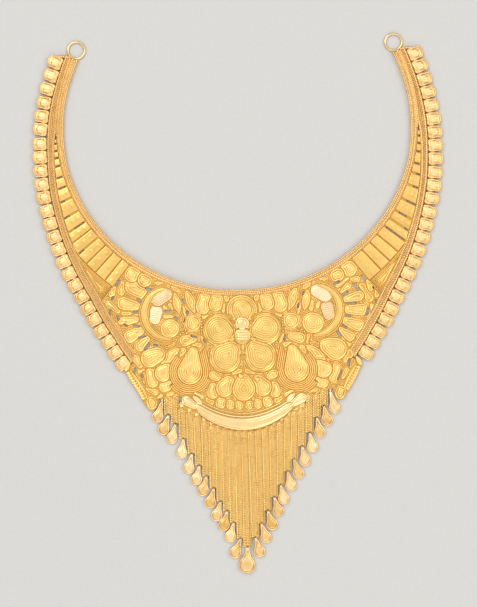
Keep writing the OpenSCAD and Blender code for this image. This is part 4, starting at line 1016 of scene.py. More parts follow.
def side_band():
    """Smooth crescent band round the outer side of the side flower, with wires on both edges."""
    sh = Shape()
    n, m = 60, 11
    t = np.radians(np.linspace(-92, 80, n))
    u = np.linspace(0, 1, m)
    wid = np.sin(np.linspace(0.14, math.pi - 0.14, n)) ** 0.5
    ri, ro = 9.1 - 1.35 * wid, 9.1 + 1.35 * wid
    R = ri[:, None] + (ro - ri)[:, None] * u[None]
    X, Y = SC_[0] + R * np.cos(t)[:, None], SC_[1] + R * np.sin(t)[:, None]
    e = np.abs(2 * u - 1)
    Z = TOP + 0.55 + 0.4 * np.sqrt(1 - e ** 2)[None] * np.ones((n, 1)) - 0.1 * np.exp(-((u - 0.3) / 0.06) ** 2)[None] - 0.1 * np.exp(-((u - 0.66) / 0.06) ** 2)[None]
    # painted shade in the tone: darker towards both edges where the band rounds down and in its two grooves
    T = 0.6 - 0.25 * e[None] ** 4 * np.ones((n, 1)) - 0.35 * np.exp(-((u - 0.3) / 0.06) ** 2)[None] - 0.3 * np.exp(-((u - 0.66) / 0.06) ** 2)[None]
    top = np.stack([X, Y, Z], -1).reshape(-1, 3)
    bot = np.stack([X, Y, np.full_like(Z, TOP - 0.05)], -1).reshape(-1, 3)
    g, N = grid_faces(n, m), n * m
    i, k = np.arange(n - 1), np.arange(m - 1)
    f = [g[:, ::-1], g + N,
         np.stack([i * m, N + i * m, N + (i + 1) * m, (i + 1) * m], 1),
         np.stack([i * m + m - 1, (i + 1) * m + m - 1, N + (i + 1) * m + m - 1, N + i * m + m - 1], 1),
         np.stack([k, k + 1, N + k + 1, N + k], 1),
         np.stack([(n - 1) * m + k, N + (n - 1) * m + k, N + (n - 1) * m + k + 1, (n - 1) * m + k + 1], 1)]
    # the underside and the foot of the walls get tone 0.1: painted shade
    sh.add(np.concatenate([top, bot]), f, np.concatenate([np.clip(T, 0, 1).ravel(), np.full(N, 0.1)]))
    for off, rr in ((0.2, 0.24), (-0.2, 0.22)):
        R_ = ro + off if off > 0 else ri + off
        tube(sh, np.stack([SC_[0] + R_ * np.cos(t), SC_[1] + R_ * np.sin(t), np.full(n, TOP + 0.4)], 1), rr, seg=6, tone=0.85)

    def band(x, y):
        g = np.degrees(np.arctan2(y - SC_[1], x - SC_[0]))
        d = np.abs(np.hypot(x - SC_[0], y - SC_[1]) - 9.1) - 1.7
        return np.maximum(d, (np.abs(g + 6) - 88) * 0.157)
    free.append((band, SC_, 11.0))
    return sh


FAN_R, WIDE_R = [45, 16, -1.2, -20.8, -37.8], [1.6, 2.0, 2.3, 2.4, 1.9]
FAN_L, WIDE_L = [38, 14, -8.5, -29, -47], [3.0, 2.45, 1.8, 2.4, 1.8]


def side_fan(angles, wide):
    sh = Shape()
    leaf(sh, (34.5, -57.4), 2.6, (34.6, -57.4), 2.6, 0.4, 0.45, "rings", 0.76, 0.09, 0.16, n=64)
    leaf(sh, (38.7, -55.1), 2.9, (39.0, -55.3), 2.9, 0.4, 0.45, "rings", 0.76, 0.08, 0.16, n=72, tone=0.7)
    for g, up, wd in zip(angles, (0.9, 1.4, 1.7, 1.2, 0.6), wide):
        q = np.array([math.cos(math.radians(g)), math.sin(math.radians(g))])
        leaf(sh, SC_ + (15.4 + up) * q, wd, SC_ + 12.3 * q, wd * 0.74, 0.38, 0.5, "rings", 0.78, 0.08, 0.16, n=72, tone=0.6 + 0.04 * up)
    leaf(sh, (45.9, -59.8), 1.15, (46.6, -62.3), 1.35, 0.35, 0.45, "rings", 0.72, 0.08, 0.14, n=60)
    leaf(sh, (31.2, -58.4), 1, (26.6, -59.9), 1, 0.3, 0.35, "rings", 0.74, 0.07, 0.1, n=48, point=1.2)
    leaf(sh, (41.2, -77.2), 2.3, (38.8, -78.6), 1.9, 0.35, 0.45, "rings", 0.76, 0.08, 0.14, n=64)
    leaf(sh, (42.6, -81.6), 1.7, (39.6, -82.6), 1.9, 0.35, 0.45, "rings", 0.76, 0.08, 0.14, n=64, tone=0.7)
    return sh


PD0, PD1 = np.array([19.2, -90.9]), np.array([17.8, -83.6])


def arcs_round(sh, base, c, offsets, a0, a1, r, z, tone, own):
    """Half-round wires that follow an outline at a few distances, wherever there is room."""
    laid = []
    for off in offsets:
        dx, dy, rr = outline(lambda x, y: base(x, y) - off, c, 150, 16)
        t = np.degrees(np.arctan2(dy, dx)) % 360
        x, y = c[0] + rr * dx, c[1] + rr * dy
        ok = ((t - a0) % 360) < (a1 - a0)
        for o, _, _ in free:
            if o is not own:
                ok &= o(x, y) > r * 0.8
        k = np.argsort((t - a0) % 360)
        run = []
        for i in list(k) + [None]:
            if i is not None and ok[i]:
                run.append(i)
            else:
                if len(run) > 7:
                    q = np.stack([x[run], y[run], np.full(len(run), z)], 1)
                    tube(sh, q, r, seg=6, tone=tone)
                    laid.append(q[::2, :2])
                run = []
    return laid


def paisley():
    sh = Shape()
    base = lambda x, y: sd_capsule(x, y, PD0, 4.6, PD1, 1.75)
    sdf = trimmed(base, (PD0 + PD1) / 2, 9.0, 0.12)

    def zf(x, y, o):
        t = np.clip(o / 4.5, 0, 1)
        low = smooth(1.5, -1.5, y + 89.5)
        b1 = barrel(o / 0.8)
        b2 = barrel((x - 18.3 + 0.1 * (y + 90)) / (0.74 + 0.03 * (y + 90)) + 0.5)
        bulb = np.hypot(x - 19.3, y + 89.8)
        m1, m2 = low * smooth(4.4, 3.8, o) * smooth(0.3, 0.6, o), (1 - low) * smooth(1.7, 2.1, bulb) * smooth(0.3, 0.6, o)
        body = TOP + 0.3 + 0.7 * np.sqrt(np.maximum(0, t * (2 - t))) + 0.17 * (b1 - 0.7) * m1 + 0.18 * (b2 - 0.7) * m2 + 0.12 * np.sqrt(np.maximum(0, 1 - (bulb / 1.9) ** 2))
        q = np.clip((o - 0.26) / 0.26, -1, 1)
        body = body + 0.24 * np.sqrt(1 - q * q)
        tb = 0.58 + 0.75 * (b1 - 0.72) * m1 + 0.75 * (b2 - 0.72) * m2 + 0.25 * (o < 0.5) - 0.3 * np.exp(-((o - 0.62) / 0.14) ** 2)
        return body, np.clip(tb, 0, 1)

    c = PD0 + (PD1 - PD0) * 0.2
    relief(sh, sdf, c, zf, TOP - 0.05, 130, 0.14, rmax=14, rows_at=0.2)
    own = (lambda x, y: sd_capsule(x, y, PD0, 4.6, PD1, 1.75))
    free.append((own, (PD0 + PD1) / 2, 9.0))
    laid = arcs_round(sh, base, c, (0.4, 1.1, 1.8, 2.5), -235, 45, 0.32, TOP + 0.28, 0.8, own)
    laid += arcs_round(sh, base, c, (3.2, 3.9), -225, -40, 0.32, TOP + 0.24, 0.75, own)
    free.append((dots_sdf(np.concatenate(laid), 0.36), (PD0 + PD1) / 2, 12.5))
    return sh


def lobes(sgn):
    sh = Shape()
    leaf(sh, (33.4, -84.0 if sgn > 0 else -85.6), 4.1 if sgn > 0 else 3.4, (30.6, -82.6 if sgn > 0 else -84.4), 3.0 if sgn > 0 else 2.8, 0.45, 0.55, "rings", 0.8, 0.08, 0.18, n=84)
    leaf(sh, (28.9, -91.2), 3.1, (27.2, -89.9), 2.4, 0.45, 0.55, "rings", 0.8, 0.08, 0.16, n=72, tone=0.8)
    leaf(sh, (22.6, -82.0), 1, (30.0, -88.6), 1, 0.4, 0.45, "rings", 0.7, 0.09, 0.14, n=80, point=1.9, tone=0.75)
    leaf(sh, (32.6, -94.2), 2.1, (33.4, -90.6), 1.7, 0.4, 0.45, "rings", 0.76, 0.07, 0.14, n=60)
    leaf(sh, (28.6, -96.1), 2.0, (26.8, -95.4), 1.9, 0.45, 0.5, "rings", 0.76, 0.08, 0.14, n=60, tone=0.85)
    leaf(sh, (23.7, -97.4), 1.9, (24.4, -95.6), 1.7, 0.45, 0.5, "rings", 0.76, 0.08, 0.14, n=60, tone=0.9)
    leaf(sh, (38.6, -85.6), 1.6, (36.9, -88.0), 1.2, 0.35, 0.45, "rings", 0.76, 0.07, 0.14, n=56)
    leaf(sh, (13.7, -96.6), 1, (11.9, -82.2), 1, 0.35, 0.4, "none", rim=0.14, n=72, tone=0.5, point=1.15)
    leaf(sh, (13.0, -81.9), 1, (15.2, -77.4), 1, 0.35, 0.35, "none", rim=0.12, n=44, point=0.8, tone=0.8)
    leaf(sh, (20.6, -79.6), 2.1, (17.6, -78.9), 1.5, 0.35, 0.45, "rings", 0.74, 0.08, 0.14, n=56)
    leaf(sh, (24.0, -80.4), 1, (29.0, -80.3), 1, 0.35, 0.35, "rings", 0.74, 0.07, 0.12, n=48, point=1.0)
    return sh


TEETH_R = [(41.85, -90.2, 1.0), (41.4, -91.3, 1.0), (40.85, -92.5, 1.0), (40.1, -93.9, 1.0), (39.35, -95.2, 1.0), (38.6, -96.5, 1.0), (37.8, -97.8, 1.0), (36.9, -99.1, 0.9)]
TEETH_L = [(41.85, -90.2, 1.0), (41.3, -91.3, 1.0), (40.65, -92.6, 1.0), (39.9, -93.9, 1.0), (39.1, -95.2, 1.0), (38.3, -96.5, 1.0), (37.4, -97.9, 1.0), (36.7, -99.3, 1.0), (36.0, -100.8, 0.9)]


def feather(teeth, tip, r):
    """Narrow side panel: a finely serrated edge, raised and painted bright as a highlight, lines along it, a ringed
    lobe at the end.
    """
    sh = Shape()
    leaf(sh, tip, r, (tip[0] + 0.4, tip[1] + 1.2), r * 0.9, 0.45, 0.5, "rings", 0.74, 0.08, 0.22, n=64)
    # a raised leaf painted pale (tone 1.0) at the panel's top: a painted highlight
    leaf(sh, (40.5, -86.4), 1, (42.6, -90.3), 1, 0.75, 0.4, "along", 0.5, 0.07, 0.14, n=48, tone=1.0, gap=-5, point=0.95)
    q = np.array([t[:2] for t in teeth], float)
    q2, length = resample(q, 0.13)
    t, side_, _ = frames(np.concatenate([q2, np.zeros((len(q2), 1))], 1), False)
    out = side_[:, :2] * np.sign(side_[:1, :1])
    n, u = len(q2), np.concatenate([[0, 0.05, 0.14], np.linspace(0.28, 2.2, 13), [2.33, 2.4]])
    m = len(u)
    along = np.linspace(0, length, n)
    taper = np.maximum(np.sin(np.clip(along / length, 0, 1) * math.pi), 0.05) ** 0.35
    mid = 1.1
    wave = np.abs(np.sin(math.pi * (along[:, None] - 0.8 * np.abs(u - mid)[None]) / 1.05))
    saw = 0.32 * wave[:, :1] + 0.26
    side = np.where(u < mid, 1.0, taper[:, None])
    X = q2[:, None] + out[:, None] * (saw * np.clip(1 - u / 0.9, 0, 1)[None] - (mid + (u - mid)[None] * side) + 0.1)[..., None]
    fall = np.sqrt(np.clip(u / 0.28, 0, 1) * (2 - np.clip(u / 0.28, 0, 1))) * np.sqrt(np.clip((2.4 - u) / 0.3, 0, 1) * (2 - np.clip((2.4 - u) / 0.3, 0, 1)))
    spine = np.exp(-((u - mid) / 0.15) ** 2)
    groove = np.exp(-((np.abs(u - mid) - 0.3) / 0.12) ** 2)
    Z = TOP + 0.03 + fall * (0.16 + 0.2 * wave ** 0.8 + 0.14 * spine + 0.1 * (u < 0.5) - 0.1 * groove)
    ends = np.minimum(np.arange(n), np.arange(n)[::-1]) / 3.0
    Z = TOP + (Z - TOP) * np.sqrt(np.clip(ends, 0.02, 1))[:, None]
    # painted light in the tone: paler on the teeth's crests, the spine and the serrated edge (painted highlight),
    # darker in the grooves and where the surface falls away at the sides (painted shade)
    T = (0.25 + 0.6 * wave ** 0.8 + 0.3 * spine + 0.4 * (u < 0.4) - 0.25 * groove) * (0.5 + 0.5 * fall)
    Z[:, 0] = Z[:, -1] = TOP + 0.02
    top = np.concatenate([X, Z[..., None]], -1).reshape(-1, 3)
    bot = np.concatenate([X, np.full(Z.shape + (1,), TOP - 0.05)], -1).reshape(-1, 3)
    gq, N = grid_faces(n, m), n * m
    i, k = np.arange(n - 1), np.arange(m - 1)
    f = [gq, gq[:, ::-1] + N,
         np.stack([i * m, (i + 1) * m, N + (i + 1) * m, N + i * m], 1),
         np.stack([i * m + m - 1, N + i * m + m - 1, N + (i + 1) * m + m - 1, (i + 1) * m + m - 1], 1),
         np.stack([k, N + k, N + k + 1, k + 1], 1),
         np.stack([(n - 1) * m + k, (n - 1) * m + k + 1, N + (n - 1) * m + k + 1, N + (n - 1) * m + k], 1)]
    d1, d2 = X[1, 0] - X[0, 0], X[0, 1] - X[0, 0]
    if d1[0] * d2[1] - d1[1] * d2[0] > 0:
        f = [w[:, ::-1] for w in f]
    # the underside and the foot of the walls get tone 0.1: painted shade
    sh.add(np.concatenate([top, bot]), f, np.concatenate([np.clip(T, 0, 1).ravel(), np.full(N, 0.1)]))
    path = q.copy()

    def band(x, y):
        d = np.full(np.shape(x), 99.0)
        for a, b in zip(path[:-1], path[1:]):
            d = np.minimum(d, sd_capsule(x, y, a - [0.9, -0.4], 1.3, b - [0.9, -0.4], 1.3))
        return d
    free.append((band, q.mean(0), 8.5))
    return sh


def dots_sdf(P, r):
    """Distance to a run of points, for wires already laid."""
    P = np.asarray(P, float)

    def f(x, y):
        d = np.full(np.shape(x), 1e9)
        for k in range(0, len(P), 64):
            q = P[k:k + 64]
            d = np.minimum(d, ((np.asarray(x)[..., None] - q[:, 0]) ** 2 + (np.asarray(y)[..., None] - q[:, 1]) ** 2).min(-1))
        return np.sqrt(d) - r
    return f


def filler(sh, edge, cuts, sgn, n_max):
    """Small leaves in the room that is left: each takes the widest place and runs along its longest way."""
    x, y = np.meshgrid(np.arange(0.3, 49.5, 0.3), np.arange(-111.9, -50, 0.3))
    shp = x.shape
    clear = np.minimum(-edge(x, y), x + 0.1)
    for o, _, _ in free:
        clear = np.minimum(clear, o(x, y))
    for c in cuts:
        clear = np.minimum(clear, cut_sdf(c, sgn)[0](x, y) - 0.05)
    dirs = np.radians(np.arange(0, 360, 20))
    for k in range(n_max):
        i = int(clear.argmax())
        a, b = divmod(i, shp[1])
        c = clear[a, b]
        if c < 1.05:
            break
        r = min(c - 0.25, 2.0)
        p0 = np.array([x[a, b], y[a, b]])
        best, q = 0.0, p0
        for t in dirs:
            d = np.array([math.cos(t), math.sin(t)])
            for j in range(1, 18):
                z = p0 + d * 0.3 * j
                u, v = int(round((z[1] + 111.9) / 0.3)), int(round((z[0] - 0.3) / 0.3))
                if not (0 <= u < shp[0] and 0 <= v < shp[1]) or clear[u, v] < max(0.32, 0.45 * r) or 0.3 * j > 3.0 * r:
                    break
                if 0.3 * j + clear[u, v] > best:
                    best, q, rq = 0.3 * j + clear[u, v], z, clear[u, v] - 0.05
        if best == 0.0:
            q, rq = p0 + [0.01, 0], r
        rq = min(rq, r)
        ln = np.linalg.norm(q - p0)
        leaf(sh, p0, r, q, rq, 0.35, 0.4, "rings", 0.7, 0.08, 0.14, n=48, gap=0.05, tone=0.6 + 0.05 * (k % 4))
        clear = np.minimum(clear, sd_capsule(x, y, p0, r, q, rq) - 0.02)
    return k


def contours(F, xs, ys, level):
    """Lines of equal value on a grid, as lists of points."""
    up = F > level
    links = {}

    def cross(i, j, k):
        if k == 0:
            f0, f1 = F[i, j], F[i, j + 1]
            t = (level - f0) / (f1 - f0)
            return (xs[j] + t * (xs[j + 1] - xs[j]), ys[i])
        f0, f1 = F[i, j], F[i + 1, j]
        t = (level - f0) / (f1 - f0)
        return (xs[j], ys[i] + t * (ys[i + 1] - ys[i]))

    any_up = up[:-1, :-1] | up[1:, :-1] | up[:-1, 1:] | up[1:, 1:]
    all_up = up[:-1, :-1] & up[1:, :-1] & up[:-1, 1:] & up[1:, 1:]
    for i, j in zip(*np.nonzero(any_up & ~all_up)):
        e = []
        if up[i, j] != up[i, j + 1]:
            e.append((i, j, 0))
        if up[i, j + 1] != up[i + 1, j + 1]:
            e.append((i, j + 1, 1))
        if up[i + 1, j] != up[i + 1, j + 1]:
            e.append((i + 1, j, 0))
        if up[i, j] != up[i + 1, j]:
            e.append((i, j, 1))
        for a, b in ((0, 1), (2, 3))[:len(e) // 2]:
            links.setdefault(e[a], []).append(e[b])
            links.setdefault(e[b], []).append(e[a])
    lines, seen = [], set()
    starts = [k for k in links if len(links[k]) == 1] + list(links)
    for k in starts:
        if k in seen:
            continue
        line, cur = [k], k
        seen.add(k)
        while True:
            nx = [q for q in links[cur] if q not in seen]
            if not nx:
                break
            cur = nx[0]
            seen.add(cur)
            line.append(cur)
        closed = len(line) > 3 and line[0] in links[cur]
        lines.append((np.array([cross(*q) for q in line]), closed))
    return lines


def echo_wires(sh, edge, cuts, sgn, first=0.27, pitch=0.56, r=0.25):
    """Fine wires in the room that is left, each at one distance from the forms round it, as the chased lines run."""
    xs, ys = np.arange(-0.2, 50.0, 0.2), np.arange(-112.4, -49.5, 0.2)
    x, y = np.meshgrid(xs, ys)
    F = np.minimum(-edge(x, y) - 0.05, x + 0.3)
    for o, _, _ in free:
        F = np.minimum(F, o(x, y))
    for c in cuts:
        F = np.minimum(F, cut_sdf(c, sgn)[0](x, y))
    for k in range(12):
        lv = first + pitch * k
        if lv > F.max():
            break
        for q, closed in contours(F, xs, ys, lv):
            if len(q) < 8:
                if len(q) >= 4 and closed:
                    beads(sh, [[q[:, 0].mean(), q[:, 1].mean(), TOP + 0.12]], 0.3, 0.75)
                continue
            q, length = resample(q, 0.42, closed)
            if length < 1.6 or len(q) < 5:
                continue
            for _ in range(2):
                m = (np.roll(q, 1, 0) + np.roll(q, -1, 0)) / 2
                if not closed:
                    m[0], m[-1] = q[0], q[-1]
                q = q * 0.5 + m * 0.5
            tube(sh, np.concatenate([q, np.full((len(q), 1), TOP + 0.1)], 1), r, closed, 6, 0.72 - 0.05 * (k % 2))
    # a grain where the last wire leaves room
    inner = (F[1:-1, 1:-1] >= np.maximum.reduce([F[:-2, 1:-1], F[2:, 1:-1], F[1:-1, :-2], F[1:-1, 2:]])) & (F[1:-1, 1:-1] > 0.25)
    ii, jj = np.nonzero(inner)
    v = F[ii + 1, jj + 1]
    left = np.where(v < first, v, (v - first) % pitch)
    ok = (left > 0.2) & (left < 0.5)
    beads(sh, np.stack([xs[jj + 1][ok], ys[ii + 1][ok], np.full(ok.sum(), TOP + 0.1)], 1), 0.26, 0.75)


plate_edge = None
for side, mir, edge, cuts, teeth, tip, fan in (("right", False, EDGE_R, CUTS_R, TEETH_R, ((34.5, -100.2), 2.05), FAN_R),
                                              ("left", True, EDGE_L, CUTS_L, TEETH_L, ((33.0, -102.2), 2.05), FAN_L)):
    sgn = -1 if mir else 1
    rim_poly = poly_sdf(half_poly(edge))
    free[:] = central + [(lambda x, y, o=o: o(x, y) + 0.22, c, r) for o, c, r in (cut_sdf(q, sgn) for q in cuts)] + [(lambda x, y: -rim_poly(x, y) - 0.0, np.array([22.0, -80.0]), 60.0)]
    parts = {}
    parts["side_petals_"] = side_flower(sgn)
    parts["side_dome_"] = side_dome(sgn)
    parts["side_band_"] = side_band()
    parts["top_leaf_ribs_"] = top_leaves()
    parts["fan_petals_"] = side_fan(fan, WIDE_L if mir else WIDE_R)
    parts["paisley_ribs_"] = paisley()
    parts["lobe_ribs_"] = lobes(sgn)
    parts["feather_petals_"] = feather(teeth, *tip)
    sh = Shape()
    print("fillers", filler(sh, rim_poly, cuts, sgn, 40))
    echo_wires(sh, rim_poly, cuts, sgn)
    parts["plate_grains_"] = sh
    for name, mat, node, slot in (("side_petals_", M_PALE, "side_flower_", "pale_matte_gold"), ("side_band_", M_CHASED, None, "chased_gold"), ("side_dome_", M_CHASED, None, "chased_gold"),
                                  ("top_leaf_ribs_", M_CHASED, "top_leaves_", "chased_gold"), ("fan_petals_", M_CHASED, "side_fan_", "chased_gold"),
                                  ("lobe_ribs_", M_CHASED, "lobes_", "chased_gold"), ("paisley_ribs_", M_CHASED, "paisley_", "chased_gold"),
                                  ("feather_petals_", M_CHASED, "feather_", "chased_gold"), ("plate_grains_", M_CHASED, None, "chased_gold")):
        piece(name + side, parts[name], mat, [node + side] if node else (), mir)

# ------------------------------------------------------------------ fringe: woven chains
FRINGE = [[-29.4, -100.2, -29.45, -31.2, -106.7, 5.9], [-27.4, -99.85, -27.3, -29.2, -111.2, 5.2], [-24.95, -99.85, -24.9, -26.3, -114.5, 5.2],
          [-22.2, -103.6, -22.1, -22.9, -119.9, 5.2], [-19.6, -105.35, -19.3, -20.5, -125.4, 5.2], [-17, -107.05, -16.7, -17.9, -129.6, 5.2],
          [-14.2, -108.85, -14.2, -15.6, -133.5, 5.2], [-11.7, -110.2, -11.7, -13.1, -137.9, 5.2], [-9.4, -111.2, -9.4, -10.9, -142.7, 5.2],
          [-7.1, -112, -7.1, -8.4, -146.2, 5.2], [-4.8, -112.5, -4.85, -6.25, -150.4, 5.2], [-2.45, -112.75, -2.5, -4.6, -156.2, 5.2],
          [0, -112.8, -0.15, -0.5, -160.8, 6.6],
          [2.45, -112.75, 2.8, 4.1, -156, 5.2], [5, -112.45, 5.05, 6.6, -150.9, 5.2], [7.6, -111.85, 7.5, 8.9, -146.4, 5.2],
          [10.25, -110.9, 9.95, 11.2, -141.6, 5.2], [12.95, -109.6, 12.35, 13.3, -137.3, 5.2], [15.75, -107.85, 15, 16, -132.5, 5.2],
          [18.5, -105.8, 17.4, 18.9, -128.2, 5.2], [20.9, -104.75, 20.4, 21.3, -123.7, 5.2], [23.7, -99.85, 23.3, 24.1, -118.9, 5.2],
          [26.4, -99.85, 26, 26.9, -113.7, 5.4], [29.05, -98.45, 28.6, 29.6, -109.4, 5.2], [31.1, -98.4, 31.05, 32.5, -105.1, 6.3]]


def link(n=10, m=5, a=0.76, b=0.48, r=0.24):
    """One oval wire link in its own plane."""
    t = np.arange(n) / n * 2 * math.pi
    c = np.stack([a * np.cos(t), b * np.sin(t), 0 * t], 1)
    nn = np.stack([np.cos(t) * b, np.sin(t) * a, 0 * t], 1)
    nn /= np.linalg.norm(nn, axis=1, keepdims=True)
    q = np.arange(m) / m * 2 * math.pi
    v = c[:, None] + r * (np.cos(q)[None, :, None] * nn[:, None] + np.sin(q)[None, :, None] * np.array([0, 0, 1.0]))
    return v.reshape(-1, 3), grid_faces(n, m, True, True)[:, ::-1]


def rot(axis, deg):
    t = math.radians(deg)
    c, s = math.cos(t), math.sin(t)
    return {"x": np.array([[1, 0, 0], [0, c, -s], [0, s, c]]), "y": np.array([[c, 0, s], [0, 1, 0], [-s, 0, c]]), "z": np.array([[c, -s, 0], [s, c, 0], [0, 0, 1]])}[axis]


LV, LF = link()
UV, UF = link(8, 4)


def tuck(s):
    """The strands' tops dip under the panel's edge."""
    return 0.42 + 0.58 * smooth(1.0, 2.5, s)


def chain(sh, i, g):
    f = FRINGE[i]
    a = np.array([f[0], f[1] + 1.7])
    b = np.array([f[2], f[4] + f[5] + 0.25])
    L = np.linalg.norm(b - a)
    d = (b - a) / L
    e = np.array([-d[1], d[0]])
    pitch = 0.86
    n = int(L / pitch)
    pitch = L / n
    # core that the links wrap, so that the strand is solid to look at
    prof = np.array([[-1.0, 0.5], [-0.7, 0.3], [0.7, 0.3], [1.04, 0.5], [1.04, 1.2], [0.62, 1.5], [-0.62, 1.5], [-1.04, 1.2]])
    m = len(prof)
    s2 = np.array([0.15, 1.1, 1.8, 2.5, L - 0.1])
    P = a[None, None] + s2[:, None, None] * d + prof[None, :, :1] * e
    v = np.concatenate([P, prof[None, :, 1:] * tuck(s2)[:, None, None]], -1).reshape(-1, 3)
    k = np.arange(m)
    sh.add(v, [grid_faces(5, m, True)[:, ::-1], np.arange(m)[None, ::-1], (4 * m + np.arange(m))[None]], 0.55)
    parts = []
    for sx in (-1, 1):
        for low in (0, 1):
            R = rot("z", sx * 33) @ rot("y", sx * 14) @ rot("x", 18)
            w = (UV if low else LV) @ R.T + [sx * 0.63, 0, 1.58]
            if low:
                w = w * [1, 1, -1] + [0, 0, 2.12]
            parts.append((w, UF[:, ::-1] if low else LF, low))
    for w, fc, low in parts:
        s = (np.arange(n) + 0.5) * pitch
        jit = g.normal(0, 0.02, n)
        q = a + (s + w[:, 1][:, None])[..., None] * d + (w[:, 0][:, None] + jit)[..., None] * e
        zz = w[:, 2][:, None] * tuck(s)[None]
        v = np.concatenate([q, zz[..., None]], -1).transpose(1, 0, 2)
        o = (np.arange(n) * len(w))[:, None, None]
        # painted light in the tone: the loops are painted darker towards the strand's outer edges and lighter the
        # higher they lie
        edge = np.clip(np.abs(w[:, 0]) / 1.15, 0, 1)
        tone_with_painted_light = np.clip(0.62 - 0.2 * edge ** 4 + 0.9 * (w[:, 2] - 1.58), 0, 1)
        sh.add(v.reshape(-1, 3), [(fc[None] + o).reshape(-1, 4)], np.tile(tone_with_painted_light, n))
    # grains down the middle, where the two rows of loops meet, with a painted highlight on each top
    s = (np.arange(n) + 0.12) * pitch
    q = a + s[:, None] * d
    beads(sh, np.concatenate([q, (1.78 * tuck(s))[:, None]], 1), 0.3, 1.05, 0.0)
    # small ring that joins the chain to the drop
    t = np.arange(14) / 14 * 2 * math.pi
    c = b + d * 0.25
    ring = np.stack([c[0] + 0.42 * np.cos(t) * e[0] + 0.5 * np.sin(t) * d[0], c[1] + 0.42 * np.cos(t) * e[1] + 0.5 * np.sin(t) * d[1], 0.95 + 0.25 * np.sin(t)], 1)
    tube(sh, ring, 0.17, True, 6, 0.8)


g = np.random.default_rng(51)
for name, a, b in (("chains_left_outer", 1, 3), ("chains_left", 4, 8), ("chains_centre", 9, 15), ("chains_right", 16, 20), ("chains_right_outer", 21, 23)):
    sh = Shape()
    for i in range(a, b + 1):
        chain(sh, i, g)
    piece("woven_" + name, sh, M_CHAIN, [name])


# ------------------------------------------------------------------ fringe: drops
def drop(i, g):
    f = FRINGE[i]
    r = 3.05 if i == 12 else 2.14
    p, q = np.array([f[3], f[4]]), np.array([f[2], f[4] + f[5] - 0.55])
    rise = 0.75 if i == 12 else 0.45
    k = g.normal(0, 0.08, 3).clip(-0.15, 0.15)
    mid = p + (q - p) * 0.55 + np.array([0.0, 0.0])

    def sdf(x, y):
        s1 = np.hypot(x - p[0], y - p[1]) - r
        s2 = sd_capsule(x, y, p, 0.78 * r, q, 0.52)
        h = np.clip(0.5 + 0.5 * (s2 - s1) / 0.7, 0, 1)
        return s2 * (1 - h) + s1 * h - 0.7 * h * (1 - h)

    ax = (q - p) / np.linalg.norm(q - p)

    def zf(x, y, d):
        s = (x - p[0]) * ax[0] + (y - p[1]) * ax[1]
        t = np.clip(d / r, 0, 1)
        z = 0.82 + rise * np.sqrt(np.maximum(0, t * (2 - t))) * smooth(-r, r * 2.4, r * 2.4 - s + 0.2) + 0.12 * (x - p[0]) * k[0] + 0.1 * (y - p[1]) * k[1]
        qq = np.clip((d - 0.27) / 0.27, -1, 1)
        wide = smooth(0.45, 0.8, d + 0.3)
        z = z + 0.3 * np.sqrt(1 - qq * qq) - 0.12 * np.exp(-((d - 0.66) / 0.16) ** 2)
        hammer = 0.03 * np.sin(3.1 * x + 9 * k[2]) * np.sin(3.4 * y + 5 * k[0])
        z = z + hammer * smooth(0.6, 1.0, d)
        # painted light in the tone: a painted highlight on the rim and painted shade in the groove inside it; k[0]
        # varies it at random from drop to drop
        tone_with_painted_light = 0.38 + 2.0 * k[0] + 0.75 * (d < 0.52) - 0.35 * np.exp(-((d - 0.68) / 0.15) ** 2) * wide
        return z, np.clip(tone_with_painted_light, 0, 1)

    sh = Shape()
    relief(sh, sdf, p, zf, 0.0, 60, 0.26, 0.2, 9, rows_at=0.2)
    if i in (0, 24):
        top = np.array([f[2], f[4] + f[5]])
        tube(sh, np.stack([[top[0], top[0]], [top[1] - 0.5, top[1] + 0.5], [0.9, 0.95]], 1), 0.42, seg=8, tone=0.8)
    if i == 12:
        # short bar above the centre drop
        tube(sh, np.stack([[q[0] - 0.95, q[0] + 0.95], [q[1] + 0.1, q[1] + 0.1], [1.25, 1.25]], 1), 0.34, seg=8, tone=0.9)
    return sh


g = np.random.default_rng(61)
names = [f"l{k:02d}" for k in range(12, 0, -1)] + ["centre"] + [f"r{k:02d}" for k in range(1, 13)]
for i, s in enumerate(names):
    piece("teardrop_" + s, drop(i, g), M_RIM, ["drop_" + s])

# ------------------------------------------------------------------ carried-over nodes
for name, mat in (("bib_plate", M_PLATE), ("ladder_left", M_PLATE), ("ladder_right", M_PLATE), ("end_ring_left", M_RING), ("end_ring_right", M_RING)):
    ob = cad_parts[name]
    ob.data.materials.clear()
    ob.data.materials.append(mat)
print("added triangles in all:", total_tris[0])

# ------------------------------------------------------------------ floor, lights, camera
fl = bpy.data.meshes.new("floor")
S = 1.2
fl.from_pydata([(-S, -S, -0.00002), (S, -S, -0.00002), (S, S, -0.00002), (-S, S, -0.00002)], [], [(0, 1, 2, 3)])
floor = bpy.data.objects.new("floor", fl)
bpy.context.scene.collection.objects.link(floor)
fm = bpy.data.materials.new("floor_card")
fm.use_nodes = True
fb = fm.node_tree.nodes["Principled BSDF"]
fn = fm.node_tree.nodes.new("ShaderNodeTexNoise")
fn.inputs["Scale"].default_value = 900
fc_ = fm.node_tree.nodes.new("ShaderNodeValToRGB")
fc_.color_ramp.elements[0].color = (0.60, 0.595, 0.585, 1)
fc_.color_ramp.elements[1].color = (0.65, 0.645, 0.635, 1)
ft = fm.node_tree.nodes.new("ShaderNodeTexCoord")
fm.node_tree.links.new(ft.outputs["Object"], fn.inputs["Vector"])
fm.node_tree.links.new(fn.outputs["Fac"], fc_.inputs[0])
fm.node_tree.links.new(fc_.outputs[0], fb.inputs["Base Color"])
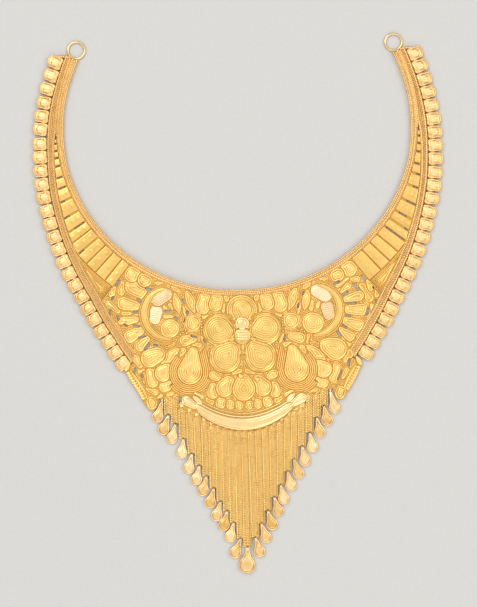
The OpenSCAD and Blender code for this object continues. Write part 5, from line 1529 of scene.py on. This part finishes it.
fb.inputs["Roughness"].default_value = 0.85
fl.materials.append(fm)

w = bpy.data.worlds.new("studio")
bpy.context.scene.world = w
w.use_nodes = True
wt = w.node_tree
# a soft dome: bright overhead, dimmer towards the horizon
wc = wt.nodes.new("ShaderNodeTexCoord")
ws = wt.nodes.new("ShaderNodeSeparateXYZ")
wr = wt.nodes.new("ShaderNodeValToRGB")
wt.links.new(wc.outputs["Generated"], ws.inputs[0])
wt.links.new(ws.outputs["Z"], wr.inputs[0])
wt.links.new(wr.outputs[0], wt.nodes["Background"].inputs[0])
wr.color_ramp.elements[0].position = 0.05
wr.color_ramp.elements[0].color = (0.20, 0.185, 0.165, 1)
wr.color_ramp.elements[1].position = 0.8
wr.color_ramp.elements[1].color = (1.0, 0.99, 0.97, 1)
wt.nodes["Background"].inputs[1].default_value = 1.04
bpy.context.scene.view_settings.view_transform = "Standard"


def area(name, loc, size, power, color=(1, 1, 1)):
    l = bpy.data.lights.new(name, "AREA")
    l.shape = "RECTANGLE"
    l.size, l.size_y = size
    l.energy = power
    l.color = color
    o = bpy.data.objects.new(name, l)
    bpy.context.scene.collection.objects.link(o)
    o.location = loc
    d = -np.array(loc, float)
    o.rotation_euler = (math.atan2(math.hypot(d[0], d[1]), -d[2]), 0, math.atan2(d[0], -d[1]))
    from mathutils import Vector
    o.rotation_euler = Vector(d).to_track_quat("-Z", "Y").to_euler()
    return o


area("key", (-0.35, 0.45, 0.75), (0.45, 0.35), 1.7, (1, 0.99, 0.97))
area("fill", (0.55, 0.1, 0.6), (0.4, 0.5), 0.9, (1, 0.98, 0.95))
area("low", (0.0, -0.6, 0.45), (0.6, 0.25), 0.7, (1, 0.98, 0.96))

cd = bpy.data.cameras.new("camera")
cd.lens = 100
cd.sensor_width = 36
cd.clip_start = 0.01
cam = bpy.data.objects.new("camera", cd)
bpy.context.scene.collection.objects.link(cam)
cam.location = (-0.0011, 0.00066, 0.607)
cam.rotation_euler = (0, 0, math.radians(-1.5))
bpy.context.scene.camera = cam
